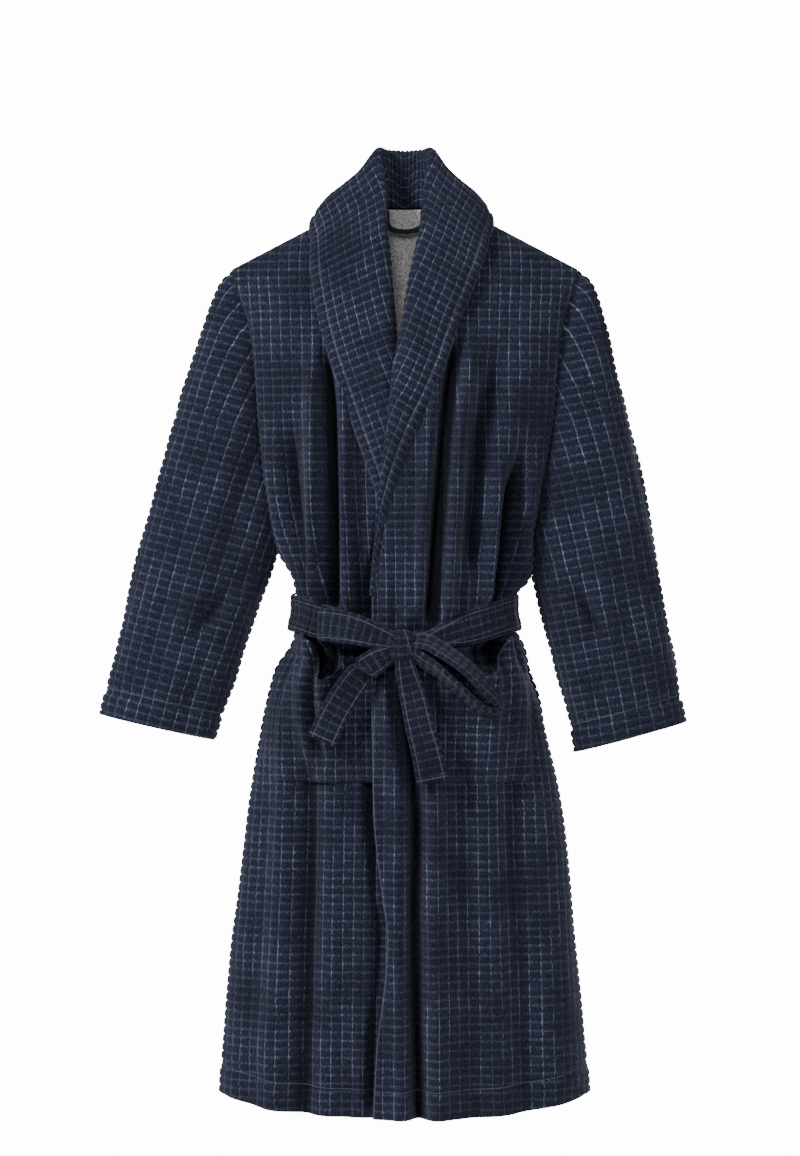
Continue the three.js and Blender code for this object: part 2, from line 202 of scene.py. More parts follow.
# ---- Settings ----
class RobeClothSettings(bpy.types.PropertyGroup):
    """Sizes and colours of the pile cloth."""

    row_spacing: FloatProperty(
        name="Row spacing", description="Height of one row of raised blocks", default=0.0103, unit="LENGTH"
    )
    pin_spacing: FloatProperty(
        name="Pin line spacing", description="Distance between two pale lines", default=0.0120, unit="LENGTH"
    )
    row_height: FloatProperty(
        name="Row height", description="How far the blocks stand out", default=0.0021, unit="LENGTH"
    )
    fold_depth: FloatProperty(
        name="Fold depth", description="Scale of the deep folds", default=1.35, min=0, max=1.5,
        subtype="FACTOR",
    )
    pile: FloatVectorProperty(
        name="Pile", description="Colour of the raised blocks", default=(0.0105, 0.0125, 0.0262),
        subtype="COLOR",
    )
    ground: FloatVectorProperty(
        name="Ground", description="Colour between the rows", default=(0.050, 0.056, 0.090), subtype="COLOR"
    )
    pin: FloatVectorProperty(
        name="Pin lines", description="Colour of the pale lines", default=(0.27, 0.29, 0.37), subtype="COLOR"
    )
    terry: FloatVectorProperty(
        name="Reverse", description="Colour of the looped inner side", default=(0.78, 0.77, 0.78),
        subtype="COLOR",
    )


class RobeBeltSettings(bpy.types.PropertyGroup):
    """Sizes and colours of the belt."""

    thickness: FloatProperty(
        name="Thickness", description="Thickness of the double cloth", default=0.006, unit="LENGTH"
    )
    stitch_inset: FloatProperty(
        name="Stitch inset", description="Edge stitching's distance from the edge", default=0.005,
        unit="LENGTH",
    )
    tape: FloatVectorProperty(
        name="Tape", description="Colour of the woven tapes", default=(0.012, 0.015, 0.028), subtype="COLOR"
    )


# ---- Meshes ----
STEP = 4  # the inner face has one row for this many of the outer face's
HALF_STEP = 2  # and one column for this many


def build(name, outer, inner, uv, border, wrap=False, painted_shade_depth=0.0):
    """A closed piece of cloth: a fine outer face, a coarser inner face and rims between them.

    outer, uv and border are grids with STEP * n + 1 rows and columns (STEP * n columns if the grid
    wraps round). inner holds the other face's points, one for each STEP rows and HALF_STEP columns.
    border holds each point's distances to the edge and to the hem. The fold depth given last says how far
    each point lies back in a fold or a seam; the pile material paints shade there by darkening the pile.
    Repeated points are merged.
    """
    fine, coarse = numbers(outer), numbers(inner) + outer[..., 0].size
    if wrap:
        fine, coarse = ring(fine), ring(coarse)
    rims = [rim(fine[0], coarse[0], HALF_STEP)[:, ::-1], rim(fine[-1], coarse[-1], HALF_STEP)]
    if not wrap:
        rims += [rim(fine[:, 0], coarse[:, 0], STEP), rim(fine[:, -1], coarse[:, -1], STEP)[:, ::-1]]
    front, back = quads(fine), quads(coarse)[:, ::-1]
    points = np.concatenate([outer.reshape(-1, 3), inner.reshape(-1, 3)])
    if inside_out(points, front, back):
        front, back, rims = front[:, ::-1], back[:, ::-1], [polygons[:, ::-1] for polygons in rims]
    mesh = bpy.data.meshes.new(name)
    sides = [polygon for polygons in rims for polygon in polygons.tolist()]
    mesh.from_pydata(points.tolist(), [], front.tolist() + back.tolist() + sides)
    slots = np.zeros(len(mesh.polygons), np.int32)
    slots[len(front) : len(front) + len(back)] = 1
    mesh.polygons.foreach_set("material_index", slots)
    corners = corner_points(mesh)
    # Painted shade: a map of each point's fold depth, by which the pile material darkens the pile.
    painted_shade_uv = np.stack([painted_shade_depth + 0 * border[..., 0], 0 * border[..., 0]], -1)
    for label, values in (("cloth", uv), ("border", border), ("painted_shade_depth", painted_shade_uv)):
        both = np.concatenate([values.reshape(-1, 2), values[::STEP, ::HALF_STEP].reshape(-1, 2)])
        laid = both[corners]
        if wrap:
            laid = unwrap_seam(laid, len(front) + len(back), HALF_STEP + 3, values[..., 0].max())
        mesh.uv_layers.new(name=label).data.foreach_set("uv", laid.ravel())
    return link_piece(name, mesh)


def numbers(grid):
    """The number of each of a grid's points."""
    return np.arange(grid[..., 0].size).reshape(grid.shape[:2])


def ring(grid):
    """A grid with its first column repeated after the last."""
    return np.concatenate([grid, grid[:, :1]], axis=1)


def quads(grid):
    """The four-sided faces between a grid's numbered points."""
    return np.stack([grid[:-1, :-1], grid[:-1, 1:], grid[1:, 1:], grid[1:, :-1]], -1).reshape(-1, 4)


def corner_points(mesh):
    """The number of the point at each face corner."""
    corners = np.zeros(len(mesh.loops), np.int32)
    mesh.loops.foreach_get("vertex_index", corners)
    return corners


def link_piece(name, mesh):
    """Merges the mesh's repeated points and adds it to the scene."""
    merge(mesh)
    piece = bpy.data.objects.new(name, mesh)
    bpy.context.scene.collection.objects.link(piece)
    return piece


def rim(fine, coarse, step):
    """Polygons between a fine edge and a coarse edge, one for each coarse step."""
    steps = len(coarse) - 1
    along = fine[np.arange(steps)[:, None] * step + np.arange(step + 1)]
    return np.concatenate([along, coarse[1:, None], coarse[:-1, None]], axis=1)


def inside_out(points, front, back):
    """True if the closed surface's signed volume, summed over its two faces, is negative."""
    faces = np.concatenate([front, back])
    a, b, c, d = (points[faces[:, k]] for k in range(4))
    halves = [np.einsum("ij,ij->i", a, normal) for normal in (np.cross(b, c), np.cross(c, d))]
    return np.sum(halves[0] + halves[1]) < 0


def unwrap_seam(laid, quads, rim_size, girth):
    """Adds one turn to the corners past the seam, in the faces that join the last column to the first."""
    for part in (laid[: quads * 4].reshape(-1, 4, 2), laid[quads * 4 :].reshape(-1, rim_size, 2)):
        across = part[..., 0]
        wide = (across.max(axis=1) - across.min(axis=1) > girth / 2)[:, None]
        part[..., 0] = np.where(wide & (across < girth / 2), across + girth, across)
    return laid


def merge(mesh):
    """Merges repeated points, which a slanted edge leaves, and shades the surface smooth."""
    work = bmesh.new()
    work.from_mesh(mesh)
    bmesh.ops.remove_doubles(work, verts=work.verts, dist=2e-5)
    bmesh.ops.dissolve_degenerate(work, edges=work.edges, dist=1e-5)
    work.to_mesh(mesh)
    work.free()
    mesh.polygons.foreach_set("use_smooth", np.ones(len(mesh.polygons), bool))


def finish_piece(piece, materials, body, node):
    """Gives a piece its materials, hides the CAD node it stands for and hangs it from the body it rides, if
    one is given.
    """
    for surface in materials:
        piece.data.materials.append(surface)
    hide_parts(node)
    if body:
        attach(piece, body)


def row_relief(length, settings):
    """Height of the raised rows: level blocks with a narrow groove at every whole row spacing."""
    phase = np.abs(2 * ((length / settings.row_spacing) % 1.0) - 1)
    return settings.row_height * (1 - phase**4)


def row_grid(low, high, settings, samples=5):
    """Lengths from low to high with a fixed number of samples in each row of blocks."""
    step = settings.row_spacing / samples
    count = STEP * math.ceil((high - low) / step / STEP)
    return high - step * np.arange(count + 1)


# ---- The hanging body ----
# Half width at each height, as (share of the way from shoulder tip to hem, share of the hem's half).
OUTLINE = (
    (0.00, 0.961), (0.06, 0.893), (0.12, 0.856), (0.20, 0.825), (0.255, 0.778), (0.312, 0.690),
    (0.365, 0.612), (0.400, 0.572), (0.436, 0.612), (0.488, 0.690), (0.583, 0.786), (0.727, 0.875),
    (0.871, 0.952), (1.00, 1.00),
)


def half_width(z):
    """Half the robe's width at a height."""
    return HEM_HALF * through((TIP[2] - z) / (TIP[2] - HEM_Z), OUTLINE)


def ridge(x):
    """Height of the shoulder line."""
    return RIDGE_TOP - SHOULDER_SLOPE * np.abs(x)


def depth(face, x, z):
    """Distance of the cloth from the centre plane: closed at the shoulder line, rounded over it, and
    opening towards the chest, the waist and the hem."""
    down = np.clip((WAIST_Z - z) / (WAIST_Z - HEM_Z), 0, 1) ** 0.8
    above = np.clip((TIP[2] - z) / (TIP[2] - WAIST_Z), 0, 1)
    opened = mix(mix(CHEST_DEPTH[face], WAIST_DEPTH[face], above), HEM_DEPTH[face] - 0.004, down)
    below = np.maximum(0, ridge(x) - z)
    rounding = 0.009 * np.sqrt(np.clip(below / 0.012, 0, 1))
    return opened * (1 - np.exp(-below / SHOULDER_FALL)) + rounding * np.exp(-below / 0.1)


def belt_z(angle, face="front"):
    """Middle of the belt: level round the back, and slanting down to the knot across the front."""
    droop = BELT_DROOP if face == "front" else 0.0
    return WAIST_Z - droop * (1 - np.abs(np.sin(angle))) ** 0.95


def side_angle(z):
    """The angle at which a panel ends: at the side seam, and short of it along the armhole."""
    return math.radians(90) - math.radians(15) * smooth(z, UNDERARM_Z - 0.02, UNDERARM_Z + 0.06)


def body_point(face, angle, z, out):
    """A point of an oval section, out metres outside the cloth's own line."""
    half = half_width(z)
    deep = depth(face, half * np.sin(angle), z)
    sign = -1.0 if face == "front" else 1.0
    x, y = half * np.sin(angle), sign * deep * np.cos(angle)
    nx, ny = np.sin(angle) * deep, sign * np.cos(angle) * half
    norm = np.maximum(np.hypot(nx, ny), 1e-6)
    return np.stack(np.broadcast_arrays(x + out * nx / norm, y + out * ny / norm, z), -1)


# Deep folds: each valley's depth and half width in metres, and its line as (z, x).
FRONT_FOLDS = (
    (0.027, 0.0080, ((-0.215, -0.099), (-0.33, -0.093), (-0.46, -0.091), (-0.575, -0.088))),
    (0.012, 0.012, ((-0.30, -0.140), (-0.42, -0.132), (-0.575, -0.118))),
    (0.027, 0.0080, ((-0.205, 0.064), (-0.304, 0.052), (-0.406, 0.043), (-0.508, 0.036), (-0.58, 0.030))),
    (0.023, 0.0085, ((-0.34, 0.140), (-0.43, 0.126), (-0.50, 0.119), (-0.57, 0.112))),
    (0.010, 0.014, ((-0.20, 0.125), (-0.33, 0.092), (-0.50, 0.080))),
    (0.0185, 0.0095, ((-0.61, -0.012), (-0.716, 0.005), (-0.80, 0.013), (-0.913, 0.012), (-1.17, 0.017))),
    (0.0105, 0.015, ((-0.60, -0.122), (-0.74, -0.118), (-0.90, -0.122), (-1.17, -0.128))),
    (0.0045, 0.016, ((-0.62, -0.068), (-0.85, -0.073), (-1.17, -0.078))),
    (0.0055, 0.018, ((-0.66, 0.062), (-0.85, 0.074), (-1.17, 0.086))),
    (0.0070, 0.018, ((-0.64, 0.120), (-0.85, 0.134), (-1.17, 0.150))),
    (0.0040, 0.014, ((-0.70, -0.158), (-0.90, -0.172), (-1.17, -0.188))),
)
BACK_FOLDS = (
    (0.012, 0.012, ((-0.25, -0.10), (-0.42, -0.085), (-0.60, -0.07))),
    (0.013, 0.012, ((-0.22, 0.115), (-0.42, 0.090), (-0.60, 0.075))),
    (0.009, 0.013, ((-0.30, 0.02), (-0.45, 0.012), (-0.60, 0.005))),
    (0.014, 0.015, ((-0.58, -0.115), (-0.85, -0.140), (-1.17, -0.165))),
    (0.014, 0.015, ((-0.58, -0.035), (-0.85, -0.045), (-1.17, -0.055))),
    (0.013, 0.015, ((-0.58, 0.045), (-0.85, 0.052), (-1.17, 0.06))),
    (0.013, 0.014, ((-0.58, 0.112), (-0.85, 0.135), (-1.17, 0.155))),
)
FOLDS = {"front": FRONT_FOLDS, "back": BACK_FOLDS}
HEM_INSET = 0.034  # the hem's stitching lies this far above its edge
POCKET_HOLLOWS = ((0.104, -0.602), (-0.106, -0.614))  # where the fronts sink behind the pockets' mouths


def fold_relief(face, x, z, scale):
    """Sum of the valleys, each a bell across its line with a raised lip on both sides, which fades in
    at its first point and, above the belt, out at its last."""
    total = np.zeros(np.broadcast(x, z).shape)
    for deep, wide, line in FOLDS[face]:
        across = (x - through(z, line)) / wide
        fade = smooth(z, line[0][0], line[0][0] - 0.09)
        if line[-1][0] > HEM_Z:
            fade = fade * smooth(z, line[-1][0] - 0.02, line[-1][0] + 0.02)
        valley = -bump(across, 1.0) + 0.42 * bump(np.abs(across) - 2.3, 1.25)
        total = total + scale * deep * fade * valley
    return total


def drape(face, angle, z, settings):
    """How far the cloth stands off its plain oval: deep folds, soft waves that lengthen towards the
    hem, gathers round the belt and the belt's own pinch."""
    x = half_width(z) * np.sin(angle)
    near = np.exp(-(((z - belt_z(angle, face)) / 0.026) ** 4))
    skirt = smooth(z, WAIST_Z - 0.03, WAIST_Z - 0.30)
    soft = 0.0035 * waves(x, z, 0.055, 0.22, 3) + 0.0012 * waves(x, z, 0.022, 0.06, 5)
    soft = soft + 0.0045 * skirt * waves(x, z * 0.4, 0.038, 0.30, 7)
    reach = bump(z - belt_z(angle, face), 0.085)
    gathers = 0.0042 * reach * np.sin(2 * np.pi * x / 0.023 + 2.2 * waves(x, z, 0.05, 0.3, 9))
    chest = smooth(ridge(x) - z, 0.02, 0.14)
    total = chest * (fold_relief(face, x, z, settings.fold_depth) + soft) + gathers
    if face == "front":
        for hollow_x, hollow_z in POCKET_HOLLOWS:
            total = total - 0.032 * bump(x - hollow_x, 0.025) * bump(z - hollow_z, 0.026)
    return total * (1 - 0.88 * near) - 0.002 * near


def seam_pull(distance, deep=0.0035, wide=0.006):
    """A seam draws the cloth in along its line."""
    return -deep * np.exp(-np.abs(distance) / wide)


# ---- The front edges ----
COLLAR_END_Z = -0.530
OPENING = 0.027  # centre line to the fold at the top of the fronts
LAPELS = {
    "left": {"end": -0.041, "curve": 1.25, "width": 0.090, "taper": 1.6},
    "right": {"end": -0.022, "curve": 0.6, "width": 0.098, "taper": 0.9},
}
LEFT_EDGE = (
    (-0.53, -0.040), (-0.716, -0.0395), (-0.819, -0.037), (-0.889, -0.029), (-0.941, -0.022),
    (-0.996, -0.024), (-1.076, -0.034), (-1.166, -0.039),
)


def fold_line(side, z):
    """x of the collar's fold: from the neck across the centre line, eased by the lapel's curve."""
    lapel = LAPELS[side]
    down = np.clip((NECK_Z - z) / (NECK_Z - COLLAR_END_Z), 0, 1)
    fold = OPENING - (OPENING - lapel["end"]) * (1 - (1 - down) ** lapel["curve"])
    return SIDES[side] * fold


def leaf_width(z):
    """Width of the collar's inner leaf, between its fold and the front edge it is sewn to."""
    down = np.clip((NECK_Z - z) / (NECK_Z - COLLAR_END_Z), 0, 1)
    return mix(NECK_HALF - OPENING, 0.004, down**0.8)


def front_edge(side, z):
    """x of a front's own edge, under the collar and below it."""
    edge = fold_line(side, z) + SIDES[side] * leaf_width(z)
    if side == "left":
        below = through(z, LEFT_EDGE)
        return mix(edge, below, smooth(z, COLLAR_END_Z + 0.05, COLLAR_END_Z))
    return edge


def layer_depth(side, x, z):
    """How far a front lies under the upper one: LAYER near the middle of the right one."""
    if side == "left":
        return np.zeros(np.broadcast(x, z).shape)
    below = smooth(ridge(x) - z, 0.01, 0.15)
    return LAYER * below * smooth(x, -0.80 * half_width(z), -0.36 * half_width(z))


def hem_rise(angle):
    """The hem hangs a little higher at the side seams."""
    return 0.024 * np.abs(np.sin(angle)) ** 3


def angle_of(x, z):
    """The angle at which a section reaches x."""
    return np.arcsin(np.clip(x / half_width(z), -1, 1))


def even_angles(start, end, share):
    """Angles from start to end whose steps are about even along a typical section."""
    t = np.linspace(0, 1, 200)
    grid = mix(start, end, t)
    length = np.concatenate([[0], np.cumsum(np.hypot(np.cos(grid[1:]), 0.42 * np.sin(grid[1:])))])
    return np.interp(share, length / length[-1], t)


def girth(face, angle, z_rows):
    """Length along each row's section from the middle of the face to an angle."""
    steps = 180
    whole = body_point(face, np.linspace(-math.pi / 2, math.pi / 2, steps + 1)[None, :], z_rows, 0.0)
    length = run_length(whole, 1)
    length = length - length[:, steps // 2][:, None]
    at = np.clip((angle / math.pi + 0.5) * steps, 0, steps - 1e-6)
    k = at.astype(int)
    return mix(np.take_along_axis(length, k, 1), np.take_along_axis(length, k + 1, 1), at - k)


def shoulder_top(angles, share):
    """Height at which each column reaches the shoulder line, found by repeated correction."""
    z = NECK_Z + 0 * share
    for _ in range(8):
        z = ridge(half_width(z) * np.sin(angles(share, z)))
    return z


def panel(name, face, columns, angles, top, settings, side=None):
    """A body panel on a grid of angles and heights, with its rows level and clipped at the shoulder
    line and the hem. It thins out towards the shoulder line, where two panels meet."""
    z_rows = row_grid(HEM_Z - 0.004, NECK_Z, settings)[:, None]
    share = np.linspace(0, 1, columns)[None, :]
    z = np.minimum(z_rows, top(share))
    z = np.maximum(z, HEM_Z + hem_rise(angles(share, HEM_Z)))
    angle = angles(share, z)
    x = half_width(z) * np.sin(angle)
    out = drape(face, angle, z, settings)
    level = layer_depth(side, x, z) if side else 0.0
    run = girth(face, angle, z_rows)
    to_seam = np.minimum(np.abs(angle - side_angle(z)), np.abs(angle + side_angle(z)))
    side_seam = to_seam * half_width(z) * 0.5
    hem = z - HEM_Z - hem_rise(angle)
    edge = np.abs(x - front_edge(side, z)) if side else 0 * x + 1.0
    pull = mix(0.0035, 0.0085, smooth(z, UNDERARM_Z - 0.02, UNDERARM_Z + 0.05))
    pull = pull * smooth(ridge(x) - z, 0.004, 0.060)
    shape = out - level + seam_pull(side_seam, pull, 0.008) + 0.0012 * np.exp(-np.abs(hem - 0.02) / 0.02)
    shape = shape - 0.0022 * bump(hem - HEM_INSET, 0.0035)
    below = smooth(z, COLLAR_END_Z + 0.12, COLLAR_END_Z + 0.02) * smooth(hem, -0.01, 0.03)
    if side == "left":
        shape = shape + below * (0.006 * np.exp(-edge / 0.014)) - 0.004 * np.exp(-edge / 0.0025)
    if side == "right":
        gap = x - front_edge("left", z)
        shape = shape - below * 0.020 * bump(gap + 0.004, 0.007)
    relief = row_relief(NECK_Z - z, settings)
    thick = mix(0.0003, CLOTH, smooth(ridge(x) - z, 0.0, 0.018))
    outer = body_point(face, angle, z, shape + relief + 0.0008)
    inner = body_point(face, angle, z, shape - thick)[::STEP, ::HALF_STEP]
    fan = mix(1.0, half_width(WAIST_Z) * 1.25 / half_width(z), 0.35)
    uv = np.stack([run * fan, NECK_Z - z], -1)
    border = np.stack([edge, hem], -1)
    # Painted shade along the side seam below the armhole, where sleeve and body meet, and in the panel's
    # folds (the fold depth -out).
    armpit = smooth(TIP[2] - z, 0.10, 0.24) * smooth(z, WAIST_Z, UNDERARM_Z)
    seam_painted_shade = 0.016 * np.exp(-side_seam / 0.007) * armpit
    return build(name, outer, inner, uv, border, painted_shade_depth=seam_painted_shade - out)


def back_panel(settings):
    def angles(share, z):
        return mix(-side_angle(z), side_angle(z), even_angles(-math.radians(90), math.radians(90), share))

    def top(share):
        return np.minimum(shoulder_top(angles, share), NECK_Z - 0.006)

    return panel("back_cloth", "back", STEP * 38 + 1, angles, top, settings)


def front_panel(side, settings):
    def angles(share, z):
        warp = even_angles(math.radians(84), -math.radians(8), share)
        return mix(SIDES[side] * side_angle(z), angle_of(front_edge(side, z), z), warp)

    def top(share):
        return shoulder_top(angles, share)

    return panel(f"{side}_front_cloth", "front", STEP * 22 + 1, angles, top, settings, side)


def facing(side, settings):
    """A strip inside each front, along its edge from the waist to the hem."""
    width = node_box(f"{side}_facing")[1][0] - node_box(f"{side}_facing")[0][0]
    z = row_grid(HEM_Z + 0.006, WAIST_Z + 0.028, settings, 2)[:, None]
    share = np.linspace(0, 1, STEP * 5 + 1)[None, :]
    x = front_edge(side, z) + SIDES[side] * mix(0.003, width, share)
    angle = angle_of(x, z)
    out = drape("front", angle, z, settings) - layer_depth(side, x, z) - CLOTH - 0.0012
    z = z + hem_rise(angle) * smooth(z, WAIST_Z - 0.1, HEM_Z)
    outer = body_point("front", angle, z, out)
    inner = body_point("front", angle, z, out - 0.003)[::STEP, ::HALF_STEP]
    uv = np.stack([x + 0 * z, NECK_Z - z], -1)
    border = np.stack([np.abs(x - front_edge(side, z)) + 0.05, z - HEM_Z + 0.5], -1)
    return build(f"{side}_facing_cloth", outer, inner, uv, border)


# ---- Collar ----
# x of each lapel's free edge at a height, as (z, x): the upper lapel crosses the lower one.
LAPEL_EDGES = {
    "left": (
        (-0.072, 0.108), (-0.100, 0.104), (-0.160, 0.084), (-0.209, 0.065), (-0.274, 0.042),
        (-0.344, 0.010), (-0.406, -0.012), (-0.467, -0.030), (-0.560, -0.037),
    ),
    "right": (
        (-0.078, -0.114), (-0.120, -0.116), (-0.169, -0.111), (-0.237, -0.096), (-0.311, -0.071),
        (-0.381, -0.047), (-0.440, -0.026), (-0.560, 0.004),
    ),
}
# The section of the collar, from its neck seam over the fold to its free edge: share of the way
# along the leaf it belongs to, and height over the cloth.
INNER_LEAF = ((0.0, -0.0015), (0.5, -0.0015), (1.0, 0.0005))
ROLL = ((-0.0035, 0.0065), (0.002, 0.0130))
OUTER_LEAF = ((0.20, 0.0155), (0.45, 0.0140), (0.75, 0.0125), (1.0, 0.0110))
COLLAR_TOP = 0.014
COLLAR_FALL = -0.088


def lapel_section(side, z, drop):
    """Points across the lapel: its inner leaf lies level, its outer leaf slants down by drop."""
    sign = SIDES[side]
    edge, fold = front_edge(side, z), fold_line(side, z)
    free_z = z - drop
    free_x = float(through(free_z, LAPEL_EDGES[side]))
    width = abs(free_x - fold)
    room = float(np.clip(width / 0.04, 0.35, 1.0))
    places = [(mix(edge, fold, t), z, out) for t, out in INNER_LEAF]
    places += [(fold + sign * room * x, z - 0.02 * room * drop, out * room) for x, out in ROLL]
    for t, out in OUTER_LEAF:
        places.append((mix(fold, free_x, t), mix(z, free_z, t), out * mix(room, 1, t * 0.5)))
    x, height, out = (np.array(column) for column in zip(*places))
    out = out - layer_depth(side, x, height)
    return body_point("front", angle_of(x, height), height, out)


def shoulder_section(side):
    """Points across the collar where it passes over the shoulder seam, at y = 0."""
    sign = SIDES[side]
    free_x = abs(float(through(-0.078, LAPEL_EDGES[side])))
    free = np.array([free_x + 0.002, ridge(free_x) + 0.012])
    fold = np.array([OPENING + 0.003, 0.004])
    seam = np.array([NECK_HALF - 0.006, NECK_Z + 0.002])
    flat = [mix(seam, fold, t) for t in (0.0, 0.5, 0.93)]
    flat += [fold + (0.001, 0.0035), fold + (0.0065, 0.0040)]
    flat += [mix(fold + (0.004, 0.003), free, t) for t in (0.25, 0.5, 0.78)] + [free - (0.0, 0.006)]
    return np.array([(sign * x, 0.0, z) for x, z in flat])


def back_section(side, x, lean):
    """Points across the collar behind the neck: a stand, the fold at the top and the fall outside."""
    seam_y = depth("back", x, NECK_Z - 0.006) - 0.004

    def outside(z, out):
        return depth("back", x + lean, z) * math.cos(angle_of(x + lean, z)) + out

    rows = [
        (x, seam_y, NECK_Z - 0.004), (x, seam_y - 0.001, mix(NECK_Z, COLLAR_TOP, 0.45)),
        (x, seam_y + 0.001, COLLAR_TOP - 0.009), (x, seam_y + 0.006, COLLAR_TOP - 0.001),
        (x + 0.1 * lean, seam_y + 0.013, COLLAR_TOP - 0.003), (x + 0.3 * lean, seam_y + 0.0185, -0.016),
        (x + 0.6 * lean, max(seam_y + 0.021, outside(-0.045, 0.010)), -0.043),
        (x + 0.85 * lean, max(seam_y + 0.022, outside(-0.068, 0.010)), -0.068),
        (x + lean, max(seam_y + 0.022, outside(COLLAR_FALL, 0.009)), COLLAR_FALL),
    ]
    return np.array([(SIDES[side] * px, py, pz) for px, py, pz in rows])


def collar_sections(side, columns):
    """The sections from the middle of the back over the shoulder to the lapel's end, each splined."""
    sections = [back_section(side, 0.0, 0.0), back_section(side, 0.019, 0.046), shoulder_section(side)]
    for share in np.linspace(0.0, 1.0, 12):
        z = mix(NECK_Z + 0.012, COLLAR_END_Z - 0.004, share)
        sections.append(lapel_section(side, z, mix(0.062, 0.006, share**0.55)))
    return np.stack([spline(section, np.linspace(0, 1, columns)) for section in sections])


def collar(side, settings):
    """One half of the shawl collar: its sections splined along the neckline in even rows of blocks.
    Its face runs from the neck seam over the fold to the free edge."""
    columns = STEP * 14 + 1
    stations = collar_sections(side, columns)
    t = np.linspace(0, 1, 400)
    guide = run_length(spline(stations[:, columns * 2 // 3], t)[:, None], 0)[:, 0]
    rows = row_grid(0, guide[-1], settings)[::-1]
    inside = rows[rows >= 0]
    rows = inside if (len(inside) - 1) % STEP == 0 else rows
    middle = spline(stations, np.interp(np.clip(rows, 0, guide[-1]), guide, t))
    facing_out = normals(middle)
    if facing_out[len(rows) // 3 * 2, columns * 3 // 4, 1] > 0:
        facing_out = -facing_out
    length = (rows + 0 * rows)[:, None] + np.zeros(columns)
    across = run_length(middle, 1)
    free = across[:, -1:] - across
    puff = 0.0018 * waves(free, length, 0.045, 0.09, 11) + 0.0008 * waves(free, length, 0.02, 0.03, 13)
    puff = puff * smooth(across, 0.0, 0.03)
    rounded = -0.0050 * np.exp(-free / 0.0035) - 0.0026 * bump(free - 0.0135, 0.0024)
    outer = middle + facing_out * (puff + rounded + row_relief(length, settings) + 0.0005)[..., None]
    inner = (middle + facing_out * (puff * 0.5 - CLOTH * 0.8)[..., None])[::STEP, ::HALF_STEP]
    uv = np.stack([free, length], -1)
    border = np.stack([free, np.ones_like(free)], -1)
    return build(f"{side}_collar_cloth", outer, inner, uv, border)


# ---- Sleeves ----
CUFF_WIDTH = 0.138
CUFF_REACH = {"left": 0.007, "right": 0.0}  # how far each cuff hangs outside its CAD place
SLEEVE_HEAD = {"left": 0.014, "right": 0.009}  # how far the sleeve's outer line starts outside the tip
CUFF_SLOPE = {"left": math.radians(15.5), "right": math.radians(12.5)}
SLEEVE_DEEP = ((0.0, 0.016), (0.12, 0.034), (0.30, 0.047), (0.57, 0.042))
# Soft folds of a sleeve's front: each valley's depth, its half width and its line, as its place
# across the sleeve (0 at the outer edge and 1 at the inner one) at a distance down it.
SLEEVE_FOLDS = (
    (0.006, 0.10, ((0.10, 0.70), (0.24, 0.60), (0.40, 0.66), (0.54, 0.72))),
    (0.0035, 0.12, ((0.20, 0.36), (0.34, 0.34), (0.50, 0.40))),
    (0.005, 0.07, ((0.30, 0.93), (0.36, 0.80), (0.42, 0.62), (0.47, 0.50))),
)
ARMHOLE_TUCK = math.radians(4)  # how far the sleeve reaches in under the panels' edges


def armhole(side, turn):
    """The seam where a sleeve joins the panels: turn is 0 at the shoulder tip and pi at the underarm."""
    top = ridge(TIP[0] * np.sin(side_angle(TIP[2]))) + 0.001
    z = mix(UNDERARM_Z, top, (1 + np.cos(turn)) / 2)
    angle = SIDES[side] * (side_angle(z) - ARMHOLE_TUCK)
    x = half_width(z) * np.sin(angle)
    under = -0.009 * smooth(ridge(x) - z, 0.002, 0.05)
    front, back = (body_point(face, angle, z, under) for face in ("front", "back"))
    return np.where((np.sin(turn) > 0)[..., None], front, back)


def sleeve_folds(side, share, around, w):
    """Soft waves and folds of a sleeve, w metres down it, by its share across and length around."""
    relief = 0.0042 * waves(around, w, 0.055, 0.13, 17 if side == "left" else 19)
    relief = relief + 0.0014 * waves(around, w, 0.02, 0.04, 23)
    for deep, wide, line in SLEEVE_FOLDS:
        across = (share - through(w, line)) / wide
        top, end = line[0][0], line[-1][0]
        fade = smooth(w, top - 0.02, top + 0.07) * smooth(w, end + 0.05, end - 0.05)
        relief = relief + deep * fade * (0.4 * bump(np.abs(across) - 2.2, 1.2) - bump(across, 1.0))
    return relief


def sleeve_line(side):
    """Where a sleeve hangs: its tip, the directions down and across it, and the distances in those
    directions from the tip to the underarm, the cuff's inner corner and its outer corner."""
    sign = SIDES[side]
    low, high = node_box(f"{side}_sleeve")
    cuff_x = (high[0] if side == "left" else low[0]) + sign * CUFF_REACH[side]
    slope = CUFF_SLOPE[side]
    outer_corner = np.array([cuff_x, 0.0, low[2] + CUFF_WIDTH * math.sin(slope)])
    inner_corner = outer_corner + CUFF_WIDTH * np.array([-sign * math.cos(slope), 0.0, -math.sin(slope)])
    tip = np.array([sign * (TIP[0] + SLEEVE_HEAD[side]), 0.0, TIP[2]])
    down = unit(outer_corner - tip)
    inward = np.array([down[2] * sign, 0.0, -down[0] * sign])
    under = armhole(side, np.array([math.pi]))[0]
    corners = (under, inner_corner, outer_corner)
    return tip, down, inward, [(float((p - tip) @ down), float((p - tip) @ inward)) for p in corners]


